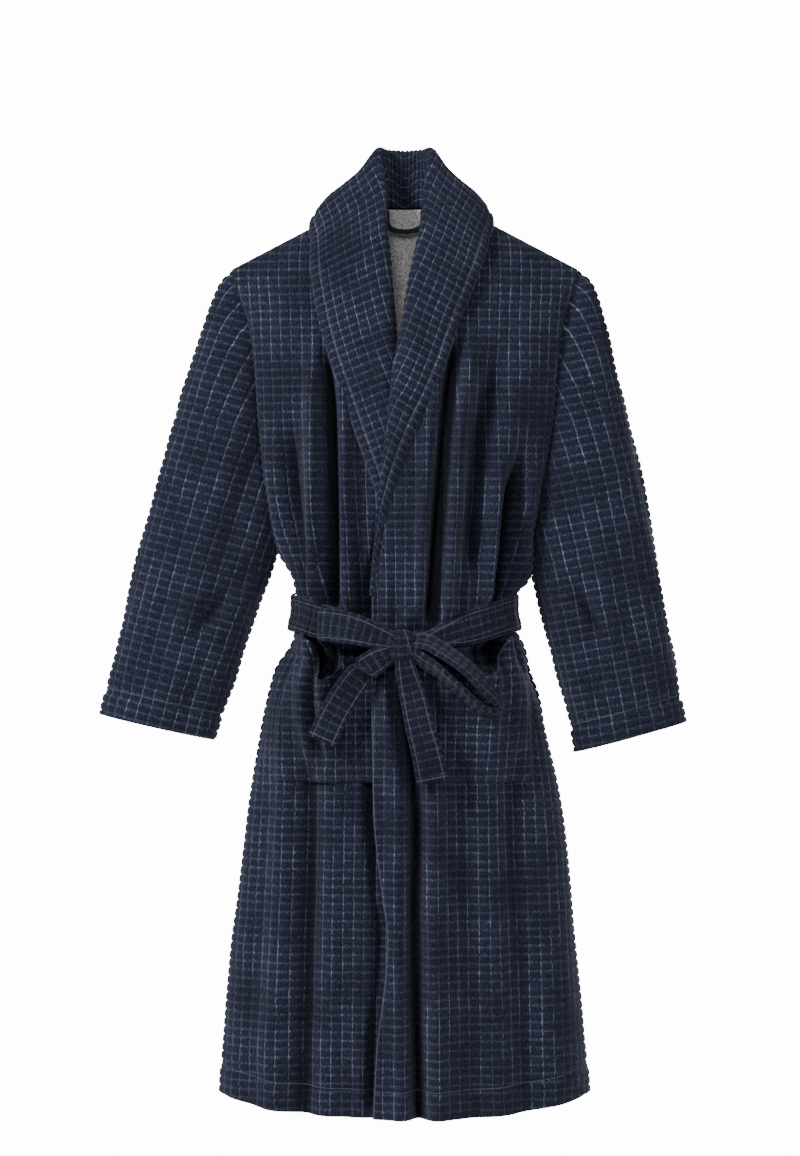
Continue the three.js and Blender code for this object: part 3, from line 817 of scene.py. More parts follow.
def sleeve(side, settings):
    """A tube round a straight line from shoulder to cuff, in level rows that the armhole clips. Near
    the armhole it eases onto the seam, by the seam's offset fading with distance."""
    tip, down, inward, corners = sleeve_line(side)
    (under_w, under_b), (cuff_w, cuff_b), (outer_w, _) = corners
    columns = STEP * 28
    turn = (np.arange(columns) * 2 * math.pi / columns)[None, :]
    share = (1 - np.cos(turn)) / 2
    seam = armhole(side, turn)
    seam_w = (seam - tip) @ down

    def tube(w, out):
        """Points of the plain tube, w metres down it and out metres outside its surface."""
        wide = under_b + (cuff_b - under_b) * (w - under_w) / (cuff_w - under_w)
        deep = through(w, SLEEVE_DEEP)
        sway = 0.006 * np.sin(np.pi * np.clip(w / outer_w, 0, 1))
        half = wide / 2 + sway / 2
        b, y = wide / 2 - sway / 2 - half * np.cos(turn), -deep * np.sin(turn)
        nb, ny = -np.cos(turn) * deep, -np.sin(turn) * half
        norm = np.hypot(nb, ny)
        b, y = b + out * nb / norm, y + out * ny / norm
        flat = tip + w[..., None] * down + b[..., None] * inward
        return flat + np.stack([0 * y, y, 0 * y], -1)

    def eased(w, out):
        """The tube's points moved onto the seam, less and less with the distance from it."""
        bridge = seam - tube(seam_w, 0 * seam_w)
        reach = mix(0.016, 0.060, smooth(share, 0.0, 0.35))
        return tube(w, out) + bridge * np.exp(-(w - seam_w) / reach)[..., None]

    last = max(outer_w, cuff_w) + 0.002
    rows = row_grid(-last, 2 * settings.row_spacing, settings)[:, None]
    w = np.clip(-rows, seam_w, mix(outer_w, cuff_w, share))
    around = turn / (2 * math.pi) * 2 * (cuff_b + 0.026)
    relief = sleeve_folds(side, share, around, w)
    from_seam, hem = w - seam_w, mix(outer_w, cuff_w, share) - w
    relief = relief * smooth(from_seam, 0.0, 0.05)
    relief = relief + seam_pull(from_seam - 0.008, 0.003) - 0.0020 * bump(hem - 0.030, 0.0035)
    relief = relief + 0.0015 * smooth(hem, 0.030, 0.026)
    # Painted shade near the armhole seam on the sleeve's inner half, and in the sleeve's folds.
    seam_painted_shade = 0.022 * np.exp(-from_seam / 0.014) * smooth(share, 0.25, 0.7)
    outer = eased(w, relief + row_relief(w, settings))
    inner = eased(w, relief - CLOTH)[::STEP, ::HALF_STEP]
    uv = np.stack([around + 0 * w, w], -1)
    border = np.stack([0 * w + 1.0, hem], -1)
    painted_shade_depth = seam_painted_shade - 1.5 * relief
    return build(f"{side}_sleeve_cloth", outer, inner, uv, border, wrap=True, painted_shade_depth=painted_shade_depth)


# ---- Pockets ----
# The mouth's line from its inner to its outer end, as (share, fall below the belt's lower edge).
POCKET_MOUTHS = {
    "left": (
        (0.0, 0.012), (0.20, 0.022), (0.40, 0.038), (0.55, 0.043), (0.75, 0.028), (0.92, 0.012),
        (1.0, 0.008),
    ),
    "right": (
        (0.0, 0.012), (0.26, 0.011), (0.34, 0.018), (0.42, 0.036), (0.50, 0.046), (0.60, 0.045),
        (0.68, 0.030), (0.75, 0.012), (0.84, 0.006), (1.0, 0.005),
    ),
}
POCKET_GAPE = {"left": (0.58, 0.022, 0.26), "right": (0.54, 0.026, 0.22)}  # centre, depth, half width
# A crease below each mouth: share at its top, share at its bottom, depth and half width in shares.
POCKET_CREASES = {
    "left": ((0.72, 0.60, 0.007, 0.10), (0.30, 0.42, 0.006, 0.10)),
    "right": ((0.68, 0.52, 0.018, 0.075), (0.30, 0.40, 0.009, 0.10)),
}


def pocket_waves(side, x, z, share, fall, bottom):
    """Soft waves and creases of a pocket, fall metres below its mouth."""
    wave = 0.0035 * waves(x, z, 0.03, 0.06, 29) * np.sin(math.pi * share)
    fade = smooth(z, bottom + 0.01, bottom + 0.05)
    for top_share, low_share, deep, wide in POCKET_CREASES[side]:
        aside = share - mix(top_share, low_share, np.clip(fall / 0.13, 0, 1))
        wave = wave - deep * fade * bump(aside, wide) + 0.5 * deep * fade * bump(aside - 2 * wide, wide)
    return wave


def pocket(side, settings):
    """A patch in level rows over its front, which falls away from it below the mouth."""
    sign = SIDES[side]
    low, high = node_box(f"{side}_pocket")
    near, far = (low[0], high[0]) if side == "left" else (high[0], low[0])
    bottom = low[2]
    columns = STEP * 10 + 1
    share = np.linspace(0, 1, columns)[None, :]
    rows = row_grid(bottom, WAIST_Z - BELT_WIDTH / 2, settings)[:, None]
    x_top = mix(near, far, share)
    mouth = belt_z(angle_of(x_top, WAIST_Z)) - BELT_WIDTH / 2 - through(share, POCKET_MOUTHS[side])
    z = np.maximum(np.minimum(rows, mouth), bottom)
    reach = np.minimum(abs(far) + 0.012 * smooth(z, WAIST_Z, bottom), 0.91 * half_width(z))
    x = mix(near, sign * reach, share)
    angle = angle_of(x, z)
    own = drape("front", angle, z, settings)
    fall = mouth - z
    centre, gape, wide = POCKET_GAPE[side]
    sag = gape * bump(share - centre, wide) * np.exp(-(fall / 0.075) ** 1.5)
    sag = sag + 0.006 * np.sin(math.pi * share) * (1 - smooth(z, bottom + 0.05, bottom))
    wave = pocket_waves(side, x, z, share, fall, bottom)
    edge = np.minimum(np.minimum(share, 1 - share) * abs(far - near), z - bottom)
    follow = mix(0.9, 0.35, smooth(z, bottom, bottom + 0.09))
    lift = np.maximum(own + 0.0052, follow * own + 0.0055 + sag + wave)
    lift = lift - 0.0040 * np.exp(-edge / 0.004) - layer_depth(side, x, z)
    lift = lift + 0.0014 * smooth(fall, 0.028, 0.024) - 0.0018 * bump(fall - 0.027, 0.003)
    outer = body_point("front", angle, z, lift + row_relief(NECK_Z - z, settings))
    inner = body_point("front", angle, z, lift - CLOTH * 0.8)[::STEP, ::HALF_STEP]
    uv = np.stack([x + 0 * z, NECK_Z - z - 0.12 * sag], -1)
    border = np.stack([edge, fall], -1)
    # Painted shade in the pocket's creases and in the front's folds that it follows.
    return build(f"{side}_pocket_cloth", outer, inner, uv, border, painted_shade_depth=-follow * own - wave)


# ---- Belt ----
def ring_points(front, angle, z, out):
    """Points round the body: on its front where front is true, and on its back elsewhere."""
    faces = [body_point(face, angle, z, out) for face in ("front", "back")]
    return np.where(front[..., None], *faces)


def belt_band(settings, belt):
    """A ring of double cloth round the waist: level at the back, drooping and gathered to the knot."""
    columns = STEP * 70
    dense = np.linspace(0, 2 * math.pi, 2000)

    def centre_line(turn):
        front = np.cos(turn) > 0
        angle = np.where(front, turn, math.pi - turn)
        z = np.where(front, belt_z(angle), WAIST_Z)
        return ring_points(front, angle, z, 0.0)

    length = run_length(centre_line(dense)[None], 1)[0]
    turn = np.interp(np.arange(columns) / columns * length[-1], length, dense)[None, :]
    line, front = centre_line(turn), np.cos(turn) > 0
    squeeze = mix(0.42, 1.0, smooth(np.abs(line[..., 0]) + 0.3 * ~front, 0.010, 0.085))
    rows = STEP * 4 + 1
    across = np.linspace(0.5, -0.5, rows)[:, None]
    angle = np.where(front, turn, math.pi - turn)
    wide = BELT_WIDTH * squeeze
    z = np.where(front, belt_z(angle), WAIST_Z) + across * wide
    roll = 0.003 * (1 - squeeze) * np.sin(across * 9.0)
    roll = roll + 0.0012 * waves(turn * 0.2, across * 0.04, 0.05, 0.03, 31)
    groove = (np.arange(columns) % STEP == 0) * 1.0
    relief = 0.6 * settings.row_height * (1 - groove)[None, :]
    rounding = -0.0022 * (np.abs(across) * 2) ** 8
    out = 0.0038 + belt.thickness * 0.4 + roll + rounding + relief
    outer = ring_points(front, angle, z, out)
    inner = ring_points(front, angle, z, out - relief - belt.thickness)[::STEP, ::HALF_STEP]
    run = turn * 0 + np.arange(columns) / columns * length[-1]
    uv = np.stack([run + 0 * across, across * wide], -1)
    border = np.stack([(0.5 - np.abs(across)) * wide, 1.0 + 0 * z], -1)
    return build("belt_band_cloth", outer, inner, uv, border, wrap=True)


def solid(name, grid, uv, border):
    """A closed form from a grid that wraps round, whose first and last rows are single points."""
    faces = quads(ring(numbers(grid)))
    points = grid.reshape(-1, 3)
    if inside_out(points, faces[:0], faces):
        faces = faces[:, ::-1]
    mesh = bpy.data.meshes.new(name)
    mesh.from_pydata(points.tolist(), [], faces.tolist())
    corners = corner_points(mesh)
    for label, values in (("cloth", uv), ("border", border)):
        laid = values.reshape(-1, 2)[corners]
        mesh.uv_layers.new(name=label).data.foreach_set("uv", laid.ravel())
    return link_piece(name, mesh)


def squared(wave, power):
    """A sine or cosine drawn out at its ends, which makes a circle boxier as the power falls below 1."""
    return np.sign(wave) * np.abs(wave) ** power


def strip(name, path, across, widths, settings, belt, thickness, free_end=False):
    """A length of belt: a flat rounded section carried along a smooth path.

    path and across are rows of points and of directions; the section's width follows across, its
    thickness the normal of both. Rows of blocks run across it, and both ends close.
    """
    t = np.linspace(0, 1, 300)
    guide = run_length(spline(path, t)[:, None], 0)[:, 0]
    step = settings.row_spacing / 4
    count = int(guide[-1] / step)
    length = np.concatenate([[0, 0], np.arange(count + 1) * step, [count * step] * 2])
    scale = np.concatenate([[0.0, 0.82], np.ones(count + 1), [0.82, 0.0]])
    at = np.interp(length, guide, t)
    middle = spline(path, at)
    along = unit(np.gradient(spline(path, t), axis=0))[(at * 299).astype(int)]
    side = spline(np.asarray(across, float), at)
    side = unit(side - along * np.sum(side * along, -1, keepdims=True))
    normal = np.cross(along, side)
    width = spline(np.asarray(widths, float)[:, None], at)[:, 0]
    turn = np.linspace(0, 2 * math.pi, 36, endpoint=False)[None, :]
    c, s = squared(np.cos(turn), 0.7), squared(np.sin(turn), 0.45)
    groove = np.where(np.arange(len(length)) % 4 == 2, 0.0, 1.0)[:, None]
    thick_share = thickness / belt.thickness
    relief = 0.7 * settings.row_height * thick_share * groove * np.abs(s)
    cup = 0.0020 * thick_share * waves(length[:, None], c * 0.02, 0.04, 0.02, 37) * np.ones_like(c)
    a = scale[:, None] * (width[:, None] / 2) * c
    n = scale[:, None] * (thickness / 2 + relief) * s + cup * (scale[:, None] > 0)
    grid = middle[:, None] + a[..., None] * side[:, None] + n[..., None] * normal[:, None]
    uv = np.stack([width[:, None] / 2 * c, length[:, None] + 0 * c], -1)
    edge = width[:, None] / 2 * (1 - np.abs(c))
    end = (guide[-1] - length)[:, None] + 0 * c if free_end else 1.0 + 0 * edge
    return solid(name, grid, uv, np.stack([edge, end], -1))


def belt_knot(settings, belt):
    """The wrapped knot: a rounded block, fuller at the front, with creases that run round it aslant."""
    rows, cols = 64, 96
    lat = np.linspace(-math.pi / 2, math.pi / 2, rows)[:, None]
    lon = np.linspace(0, 2 * math.pi, cols, endpoint=False)[None, :]
    x = squared(np.cos(lat), 0.75) * squared(np.cos(lon), 0.8)
    y = squared(np.cos(lat), 0.75) * squared(np.sin(lon), 0.8)
    z = squared(np.sin(lat), 0.8) + 0 * lon
    slant = x * 0.9 + z * 0.35
    crease = 1 - 0.10 * bump(slant - 0.30, 0.09) - 0.07 * bump(slant + 0.38, 0.08)
    crease = crease - 0.05 * bump(z - 0.5 * x - 0.1, 0.07) * (x < 0.3)
    crease = crease + 0.03 * waves(x * 0.02, z * 0.02, 0.012, 0.012, 41)
    half = (KNOT_HIGH - KNOT_LOW) / 2 * np.array([0.86, 1.15, 0.90])
    grid = KNOT + np.stack([x * half[0], y * half[1], z * half[2]], -1) * crease[..., None]
    uv = np.stack([x * half[0] + 0.004, z * half[2] + 0 * x], -1)
    edge = np.abs(slant - 0.52) * half[0] + belt.stitch_inset
    return solid("belt_knot_cloth", grid, uv, np.stack([edge, 1.0 + 0 * edge], -1))


def over_robe(points):
    """Points given as (x from the knot, z from the knot, height over the front), as positions."""
    x, z, out = np.array(points, float).T
    x, z = KNOT[0] + x, KNOT[2] + z
    foot = x
    for _ in range(4):
        foot = foot + x - body_point("front", angle_of(foot, z), z, out)[:, 0]
    return body_point("front", angle_of(foot, z), z, out)


def keeper_path(side):
    """A keeper's middle line, which runs down the side seam and out over the belt."""
    profile = (  # distance outside the seam, height from the waist
        (-0.0095, 0.0235), (-0.0010, 0.0230), (0.0055, 0.0205), (0.0075, 0.0140), (0.0078, 0.0),
        (0.0075, -0.0140), (0.0055, -0.0205), (-0.0010, -0.0230), (-0.0095, -0.0235),
    )
    out, z = np.array(profile).T
    x = SIDES[side] * (half_width(WAIST_Z + z) + out)
    return np.stack([x, 0 * x, WAIST_Z + z], -1)


# Each free part of the belt as rows of (x, z, height over the robe), the way its width points and
# its width. x and z are measured from the middle of the knot.
BELT_PARTS = {
    "left_bow_loop": {
        "path": (
            (0.010, 0.006, 0.020), (0.034, 0.004, 0.026), (0.066, -0.016, 0.033), (0.098, -0.044, 0.037),
            (0.118, -0.066, 0.036), (0.117, -0.079, 0.034), (0.100, -0.078, 0.032),
            (0.074, -0.056, 0.030), (0.044, -0.030, 0.026), (0.010, -0.006, 0.018),
        ),
        "across": (
            (0, 0.5, 0.8), (0.15, 0.8, 0.55), (0.22, 0.9, 0.38), (0.25, 0.93, 0.30), (0.2, 1, 0.1),
            (0, 1, 0), (0.1, 1, -0.2), (0.25, 0.85, -0.45), (0.22, 0.8, -0.55), (0, 0.5, -0.8),
        ),
        "widths": (0.020, 0.030, 0.036, 0.038, 0.038, 0.038, 0.038, 0.036, 0.030, 0.020),
    },
    "right_bow_loop": {
        "path": (
            (-0.006, 0.004, 0.026), (-0.030, 0.012, 0.030), (-0.060, 0.021, 0.031), (-0.088, 0.025, 0.029),
            (-0.0975, 0.0255, 0.024), (-0.088, 0.0245, 0.018), (-0.060, 0.020, 0.0165),
            (-0.030, 0.012, 0.016),
        ),
        "across": (
            (0.1, 0, 1), (0.2, 0, 1), (0.12, 0, 1), (0.03, 0, 1), (0, 0, 1), (0.03, 0, 1), (0.12, 0, 1),
            (0.2, 0, 1),
        ),
        "widths": (0.022, 0.030, 0.038, 0.040, 0.040, 0.040, 0.038, 0.034),
    },
    "left_belt_tail": {
        "path": (
            (0.002, -0.008, 0.018), (0.006, -0.030, 0.0245), (0.014, -0.060, 0.0275),
            (0.022, -0.095, 0.029), (0.031, -0.130, 0.029), (0.038, -0.164, 0.028),
        ),
        "across": (
            (1, 0.1, 0.1), (1, 0.1, 0.2), (1, 0, 0.2), (1, -0.05, 0.2), (1, 0.0, 0.14), (1, 0.08, 0.1),
        ),
        "widths": (0.020, 0.026, 0.032, 0.035, 0.037, 0.038),
        "free_end": True,
    },
    "right_belt_tail": {
        "path": (
            (-0.004, -0.006, 0.018), (-0.024, -0.014, 0.026), (-0.046, -0.030, 0.029),
            (-0.066, -0.056, 0.029), (-0.083, -0.086, 0.028), (-0.096, -0.115, 0.027),
        ),
        "across": (
            (0.1, 0, 1), (0.35, 0.05, 1), (0.75, 0.05, 0.7), (0.9, 0.05, 0.5), (0.92, 0.0, 0.42),
            (0.9, -0.05, 0.42),
        ),
        "widths": (0.022, 0.030, 0.034, 0.036, 0.036, 0.036),
        "free_end": True,
    },
}


# ---- Materials ----
class Nodes:
    """A material's node tree with short calls for the nodes that the cloths share."""

    def __init__(self, name):
        self.material = bpy.data.materials.new(name)
        self.material.use_nodes = True
        self.tree = self.material.node_tree
        self.shader = self.tree.nodes["Principled BSDF"]

    def add(self, kind, **values):
        node = self.tree.nodes.new(kind)
        for key, value in values.items():
            setattr(node, key, value)
        return node

    def wire(self, value, socket):
        if hasattr(value, "is_output"):
            self.tree.links.new(value, socket)
        elif value is not None:
            socket.default_value = value

    def math(self, operation, a, b=None, c=None):
        node = self.add("ShaderNodeMath", operation=operation)
        for value, socket in zip((a, b, c), node.inputs):
            self.wire(value, socket)
        return node.outputs[0]

    def ramp(self, value, low, high, start=0.0, end=1.0):
        node = self.add("ShaderNodeMapRange", interpolation_type="SMOOTHSTEP")
        for given, socket in zip((value, low, high, start, end), node.inputs):
            self.wire(given, socket)
        return node.outputs[0]

    def blend(self, share, a, b):
        node = self.add("ShaderNodeMix", data_type="RGBA")
        self.wire(share, node.inputs[0])
        self.wire(a, node.inputs[6])
        self.wire(b, node.inputs[7])
        return node.outputs[2]

    def tint(self, colour, amount):
        """A colour made lighter or darker by a factor."""
        node = self.add("ShaderNodeVectorMath", operation="SCALE")
        node.inputs[0].default_value = colour[:3]
        self.wire(amount, node.inputs["Scale"])
        return node.outputs[0]

    def noise(self, vector, scale, detail=3.0, stretch=(1, 1, 1)):
        mapping = self.add("ShaderNodeMapping")
        mapping.inputs["Scale"].default_value = stretch
        self.wire(vector, mapping.inputs["Vector"])
        node = self.add("ShaderNodeTexNoise")
        node.inputs["Scale"].default_value = scale
        node.inputs["Detail"].default_value = detail
        self.wire(mapping.outputs[0], node.inputs["Vector"])
        return node.outputs[0]

    def uv(self, name):
        node = self.add("ShaderNodeUVMap", uv_map=name)
        split = self.add("ShaderNodeSeparateXYZ")
        self.wire(node.outputs[0], split.inputs[0])
        return node.outputs[0], split.outputs[0], split.outputs[1]

    def line(self, distance, at, half):
        """1 on a line at a distance, falling to 0 at half metres from it."""
        away = self.math("ABSOLUTE", self.math("SUBTRACT", distance, at))
        return self.ramp(away, half * 0.35, half, 1.0, 0.0)

    def comb(self, along, spacing):
        """Distance from the nearest of the lines that lie at every whole spacing."""
        steps = self.math("PINGPONG", self.math("DIVIDE", along, spacing), 0.5)
        return self.math("MULTIPLY", steps, spacing)

    def finish(self, colour, height, strength, distance, roughness):
        """Feeds the colour and a bump of the height into the shader."""
        self.wire(colour, self.shader.inputs["Base Color"])
        self.shader.inputs["Roughness"].default_value = roughness
        relief = self.add("ShaderNodeBump")
        relief.inputs["Strength"].default_value = strength
        relief.inputs["Distance"].default_value = distance
        self.wire(height, relief.inputs["Height"])
        self.wire(relief.outputs[0], self.shader.inputs["Normal"])
        return self.material


def opaque(colour):
    return (*colour, 1.0)


def scaled(colour, factor):
    """An opaque colour made lighter or darker by a factor."""
    return opaque([part * factor for part in colour])


def pile_material(name, settings, edge_inset, hem_inset, pinned=1.0, stitched=0.3, shade=1.0):
    """Raised blocks of cut pile between paler rows, with thin broken pale lines along the cloth and lines of
    stitching at a distance from its edges. pinned and stitched are the strengths of the two kinds of line,
    and shade the brightness of the pile. The pile is darkened by painted shade where the cloth lies back in
    a fold or a seam, by the fold depth that each piece gives it."""
    n = Nodes(name)
    cloth, across, along = n.uv("cloth")
    edge, hem = n.uv("border")[1:]
    place = n.add("ShaderNodeTexCoord").outputs["Object"]
    wobble = n.math("MULTIPLY", n.math("SUBTRACT", n.noise(place, 45.0, 2.0), 0.5), 0.0022)
    pin = n.comb(n.math("ADD", across, wobble), settings.pin_spacing)
    row = n.comb(along, settings.row_spacing)
    patchy = n.noise(place, 17.0, 4.0)
    broken = n.noise(cloth, 420.0, 2.0, (1.0, 0.55, 1.0))
    speckle = n.noise(place, 620.0, 3.0)
    streaks = n.noise(cloth, 460.0, 2.0, (1.6, 0.45, 1.0))

    valley = n.ramp(row, 0.0002, 0.0026, 1.0, 0.0)
    fleck = n.ramp(streaks, 0.36, 0.62, 0.15, 1.0)
    tuft = n.math("MULTIPLY_ADD", n.ramp(speckle, 0.32, 0.68, 0.0, 1.0), 1.3, 0.45)
    tone = n.math("MULTIPLY", tuft, n.ramp(patchy, 0.25, 0.75, 0.78, 1.25))
    dark = n.math("MULTIPLY", tone, n.ramp(streaks, 0.3, 0.7, 0.8, 1.2))
    # Painted shade: the pile, the ground between the rows and the pale lines all darken with the fold depth,
    # down to 0.22 of their brightness, where shade falls in folds and seams.
    painted_fold_shade = n.ramp(n.uv("painted_shade_depth")[1], 0.003, 0.020, shade, 0.22 * shade)
    colour = n.tint(opaque(settings.pile), n.math("MULTIPLY", dark, painted_fold_shade))
    ground = n.tint(opaque(settings.ground), n.math("MULTIPLY", tuft, painted_fold_shade))
    bare = n.math("MULTIPLY", n.math("MULTIPLY", valley, fleck), n.ramp(patchy, 0.30, 0.65, 0.55, 1.0))
    colour = n.blend(bare, colour, ground)

    pin_line = n.ramp(pin, 0.00022, 0.00062, 1.0, 0.0)
    rows = n.math("MULTIPLY_ADD", valley, 0.5, 0.5)
    dashes = n.math("MULTIPLY", n.ramp(broken, 0.36, 0.62, 0.12, 1.0), rows)
    dashes = n.math("MULTIPLY", dashes, n.ramp(patchy, 0.36, 0.62, 0.18, 1.0))
    pin_share = n.math("MULTIPLY", n.math("MULTIPLY", pin_line, dashes), n.math("MULTIPLY", painted_fold_shade, pinned))
    colour = n.blend(pin_share, colour, opaque(settings.pin))
    sewn = n.math("MAXIMUM", n.line(edge, edge_inset, 0.0009), n.line(hem, hem_inset, 0.0010))
    sewn_share = n.math("MULTIPLY", n.math("MULTIPLY", sewn, n.ramp(broken, 0.3, 0.5, 0.4, 1.0)), stitched)
    colour = n.blend(sewn_share, colour, scaled(settings.pin, 0.6))
    n.shader.inputs["Specular IOR Level"].default_value = 0.12
    n.shader.inputs["Sheen Weight"].default_value = 0.14
    n.shader.inputs["Sheen Roughness"].default_value = 0.5
    n.shader.inputs["Sheen Tint"].default_value = (0.55, 0.60, 0.85, 1.0)

    groove = n.ramp(pin, 0.0, 0.0030, -0.0012, 0.0)
    height = n.math("MULTIPLY_ADD", speckle, 0.0014, groove)
    height = n.math("MULTIPLY_ADD", streaks, 0.0006, height)
    height = n.math("MULTIPLY_ADD", sewn, -0.0008, height)
    return n.finish(colour, height, strength=0.9, distance=1.0, roughness=0.95)


def terry_material(settings):
    """The looped reverse of the cloth: pale and dark yarns mixed, in small loops."""
    n = Nodes("terry_reverse")
    place = n.add("ShaderNodeTexCoord").outputs["Object"]
    loops = n.noise(place, 520.0, 2.0)
    mottled = n.noise(place, 45.0, 4.0)
    colour = n.blend(n.ramp(loops, 0.35, 0.65), scaled(settings.terry, 0.55), scaled(settings.terry, 1.2))
    colour = n.blend(n.ramp(mottled, 0.35, 0.75, 0.0, 0.5), colour, scaled(settings.terry, 0.7))
    n.shader.inputs["Specular IOR Level"].default_value = 0.15
    return n.finish(colour, loops, strength=0.9, distance=0.0012, roughness=0.95)


def tape_material(belt):
    """Flat woven tape: a fine herringbone of two close tones."""
    n = Nodes("woven_tape")
    place = n.add("ShaderNodeTexCoord").outputs["Object"]
    wave = n.add("ShaderNodeTexWave", wave_type="BANDS", bands_direction="DIAGONAL")
    wave.inputs["Scale"].default_value = 420.0
    wave.inputs["Distortion"].default_value = 0.6
    n.wire(place, wave.inputs["Vector"])
    colour = n.blend(wave.outputs[1], scaled(belt.tape, 0.7), scaled(belt.tape, 1.8))
    return n.finish(colour, wave.outputs[1], strength=0.6, distance=0.0005, roughness=0.8)


def material(name, make):
    """The material of that name, made the first time it is asked for."""
    return bpy.data.materials.get(name) or make()


NEVER = 5.0  # an inset that no edge distance reaches


def pile(settings):
    return material(
        "ribbed_velour",
        lambda: pile_material("ribbed_velour", settings, 0.0012, HEM_INSET, stitched=0.35),
    )


def collar_pile(settings):
    return material("collar_velour", lambda: pile_material("collar_velour", settings, 0.0135, NEVER))


def pocket_pile(settings):
    return material(
        "pocket_velour",
        lambda: pile_material("pocket_velour", settings, 0.0040, 0.026, stitched=0.12),
    )


def belt_pile(settings, belt):
    inset = belt.stitch_inset
    strengths = {"pinned": 0.35, "stitched": 0.40, "shade": 0.72}
    return material(
        "belt_velour",
        lambda: pile_material("belt_velour", settings, inset, inset, **strengths),
    )


def terry(settings):
    return material("terry_reverse", lambda: terry_material(settings))


# ---- Operators: one for each group of like pieces ----
class ROBE_OT_body(bpy.types.Operator):
    """Adds the back, the two fronts and their facings"""

    bl_idname = "robe.body"
    bl_label = "Body panels"

    def execute(self, context):
        settings = context.scene.robe_cloth
        cloth = [pile(settings), terry(settings)]
        back = back_panel(settings)
        finish_piece(back, cloth, "root", "back_panel")
        for side in SIDES:
            front = front_panel(side, settings)
            finish_piece(front, cloth, "root", f"{side}_front")
            strip_piece = facing(side, settings)
            finish_piece(strip_piece, cloth[:1] * 2, "root", f"{side}_facing")
        return {"FINISHED"}


class ROBE_OT_collar(bpy.types.Operator):
    """Adds the two halves of the shawl collar"""

    bl_idname = "robe.collar"
    bl_label = "Collar"

    def execute(self, context):
        settings = context.scene.robe_cloth
        for side in SIDES:
            piece = collar(side, settings)
            finish_piece(piece, [collar_pile(settings)] * 2, "root", f"{side}_collar")
        return {"FINISHED"}


class ROBE_OT_sleeves(bpy.types.Operator):
    """Adds the sleeves, which ease onto the armhole seams"""

    bl_idname = "robe.sleeves"
    bl_label = "Sleeves"

    def execute(self, context):
        settings = context.scene.robe_cloth
        for side, sign in SIDES.items():
            piece = sleeve(side, settings)
            finish_piece(piece, [pile(settings), terry(settings)], None, f"{side}_sleeve")
            ends = armhole(side, np.array([0.0, math.pi]))
            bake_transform(piece)
        return {"FINISHED"}


class ROBE_OT_pockets(bpy.types.Operator):
    """Adds the two patch pockets"""

    bl_idname = "robe.pockets"
    bl_label = "Pockets"

    def execute(self, context):
        settings = context.scene.robe_cloth
        cloth = [pocket_pile(settings), terry(settings)]
        for side in SIDES:
            piece = pocket(side, settings)
            finish_piece(piece, cloth, "root", f"{side}_pocket")
        return {"FINISHED"}


class ROBE_OT_belt(bpy.types.Operator):
    """Adds the belt: its band, its knot and the free loops and tails of the bow"""

    bl_idname = "robe.belt"
    bl_label = "Belt and bow"

    def execute(self, context):
        settings, belt = context.scene.robe_cloth, context.scene.robe_belt
        cloth = belt_pile(settings, belt)
        band = belt_band(settings, belt)
        finish_piece(band, [cloth] * 2, "root", "belt_band")
        knot = belt_knot(settings, belt)
        finish_piece(knot, [cloth], "root", "belt_knot")
        for name, part in BELT_PARTS.items():
            piece = strip(
                f"{name}_cloth", over_robe(part["path"]), part["across"], part["widths"],
                settings, belt, belt.thickness, part.get("free_end", False),
            )
            finish_piece(piece, [cloth], name, name)
            length = float(run_length(over_robe(part["path"])[:, None], 0)[-1, 0])
        return {"FINISHED"}


class ROBE_OT_tapes(bpy.types.Operator):
    """Adds the belt's keepers and finishes the hanging loop, whose shape is the frame's own"""

    bl_idname = "robe.tapes"
    bl_label = "Tapes"

    def execute(self, context):
        tape = material("woven_tape", lambda: tape_material(context.scene.robe_belt))
        for slot in frame["nodes"]["hanging_loop"].material_slots:
            slot.material = tape
        settings, belt = context.scene.robe_cloth, context.scene.robe_belt
        width, length, thick = 0.010, 0.066, 0.0022
        for side in SIDES:
            path = keeper_path(side)
            across, widths = [(0, 1, 0)] * len(path), [width] * len(path)
            piece = strip(f"{side}_keeper_tape", path, across, widths, settings, belt, thick)
            finish_piece(piece, [tape], "root", f"{side}_belt_loop")
        return {"FINISHED"}


class ROBE_OT_stage(bpy.types.Operator):
    """Adds the floor, the soft studio lights and the camera"""

    bl_idname = "robe.stage"
    bl_label = "Stage"

    def execute(self, context):
        add_floor(context)
        add_world(context)
        for name, place, target, size, power in LIGHTS:
            area_light(name, place, target, size, power)
        add_camera(context)
        return {"FINISHED"}


MIDDLE_X, _, MIDDLE_Z = ((low + high) / 2 for low, high in zip(*CAD_BOX))
# Each soft light's name, place, target, size in metres and power in watts.
LIGHTS = (
    ("key_light", (-2.3, -1.9, 1.2), (MIDDLE_X, 0.0, MIDDLE_Z), 0.9, 122.0),
    ("fill_light", (2.4, -1.9, 0.2), (MIDDLE_X, 0.0, MIDDLE_Z), 1.4, 30.0),
    ("back_light", (1.6, 3.2, 0.6), (MIDDLE_X, 0.0, MIDDLE_Z), 2.0, 140.0),
    ("front_light", (-0.3, -3.2, 0.7), (0.0, 0.0, NECK_Z), 0.8, 26.0),
)
FLOOR_HALF = 1.8
FLOOR_DROP = 0.35  # how far the floor lies below the hem
ROOM_LIGHT = 0.17  # what the white surroundings shine on the robe
BACKDROP_LIGHT = 14.0  # and how bright they are in the camera
CAMERA = (-0.006, -5.0, -0.514)
CAMERA_LENS = 126.6


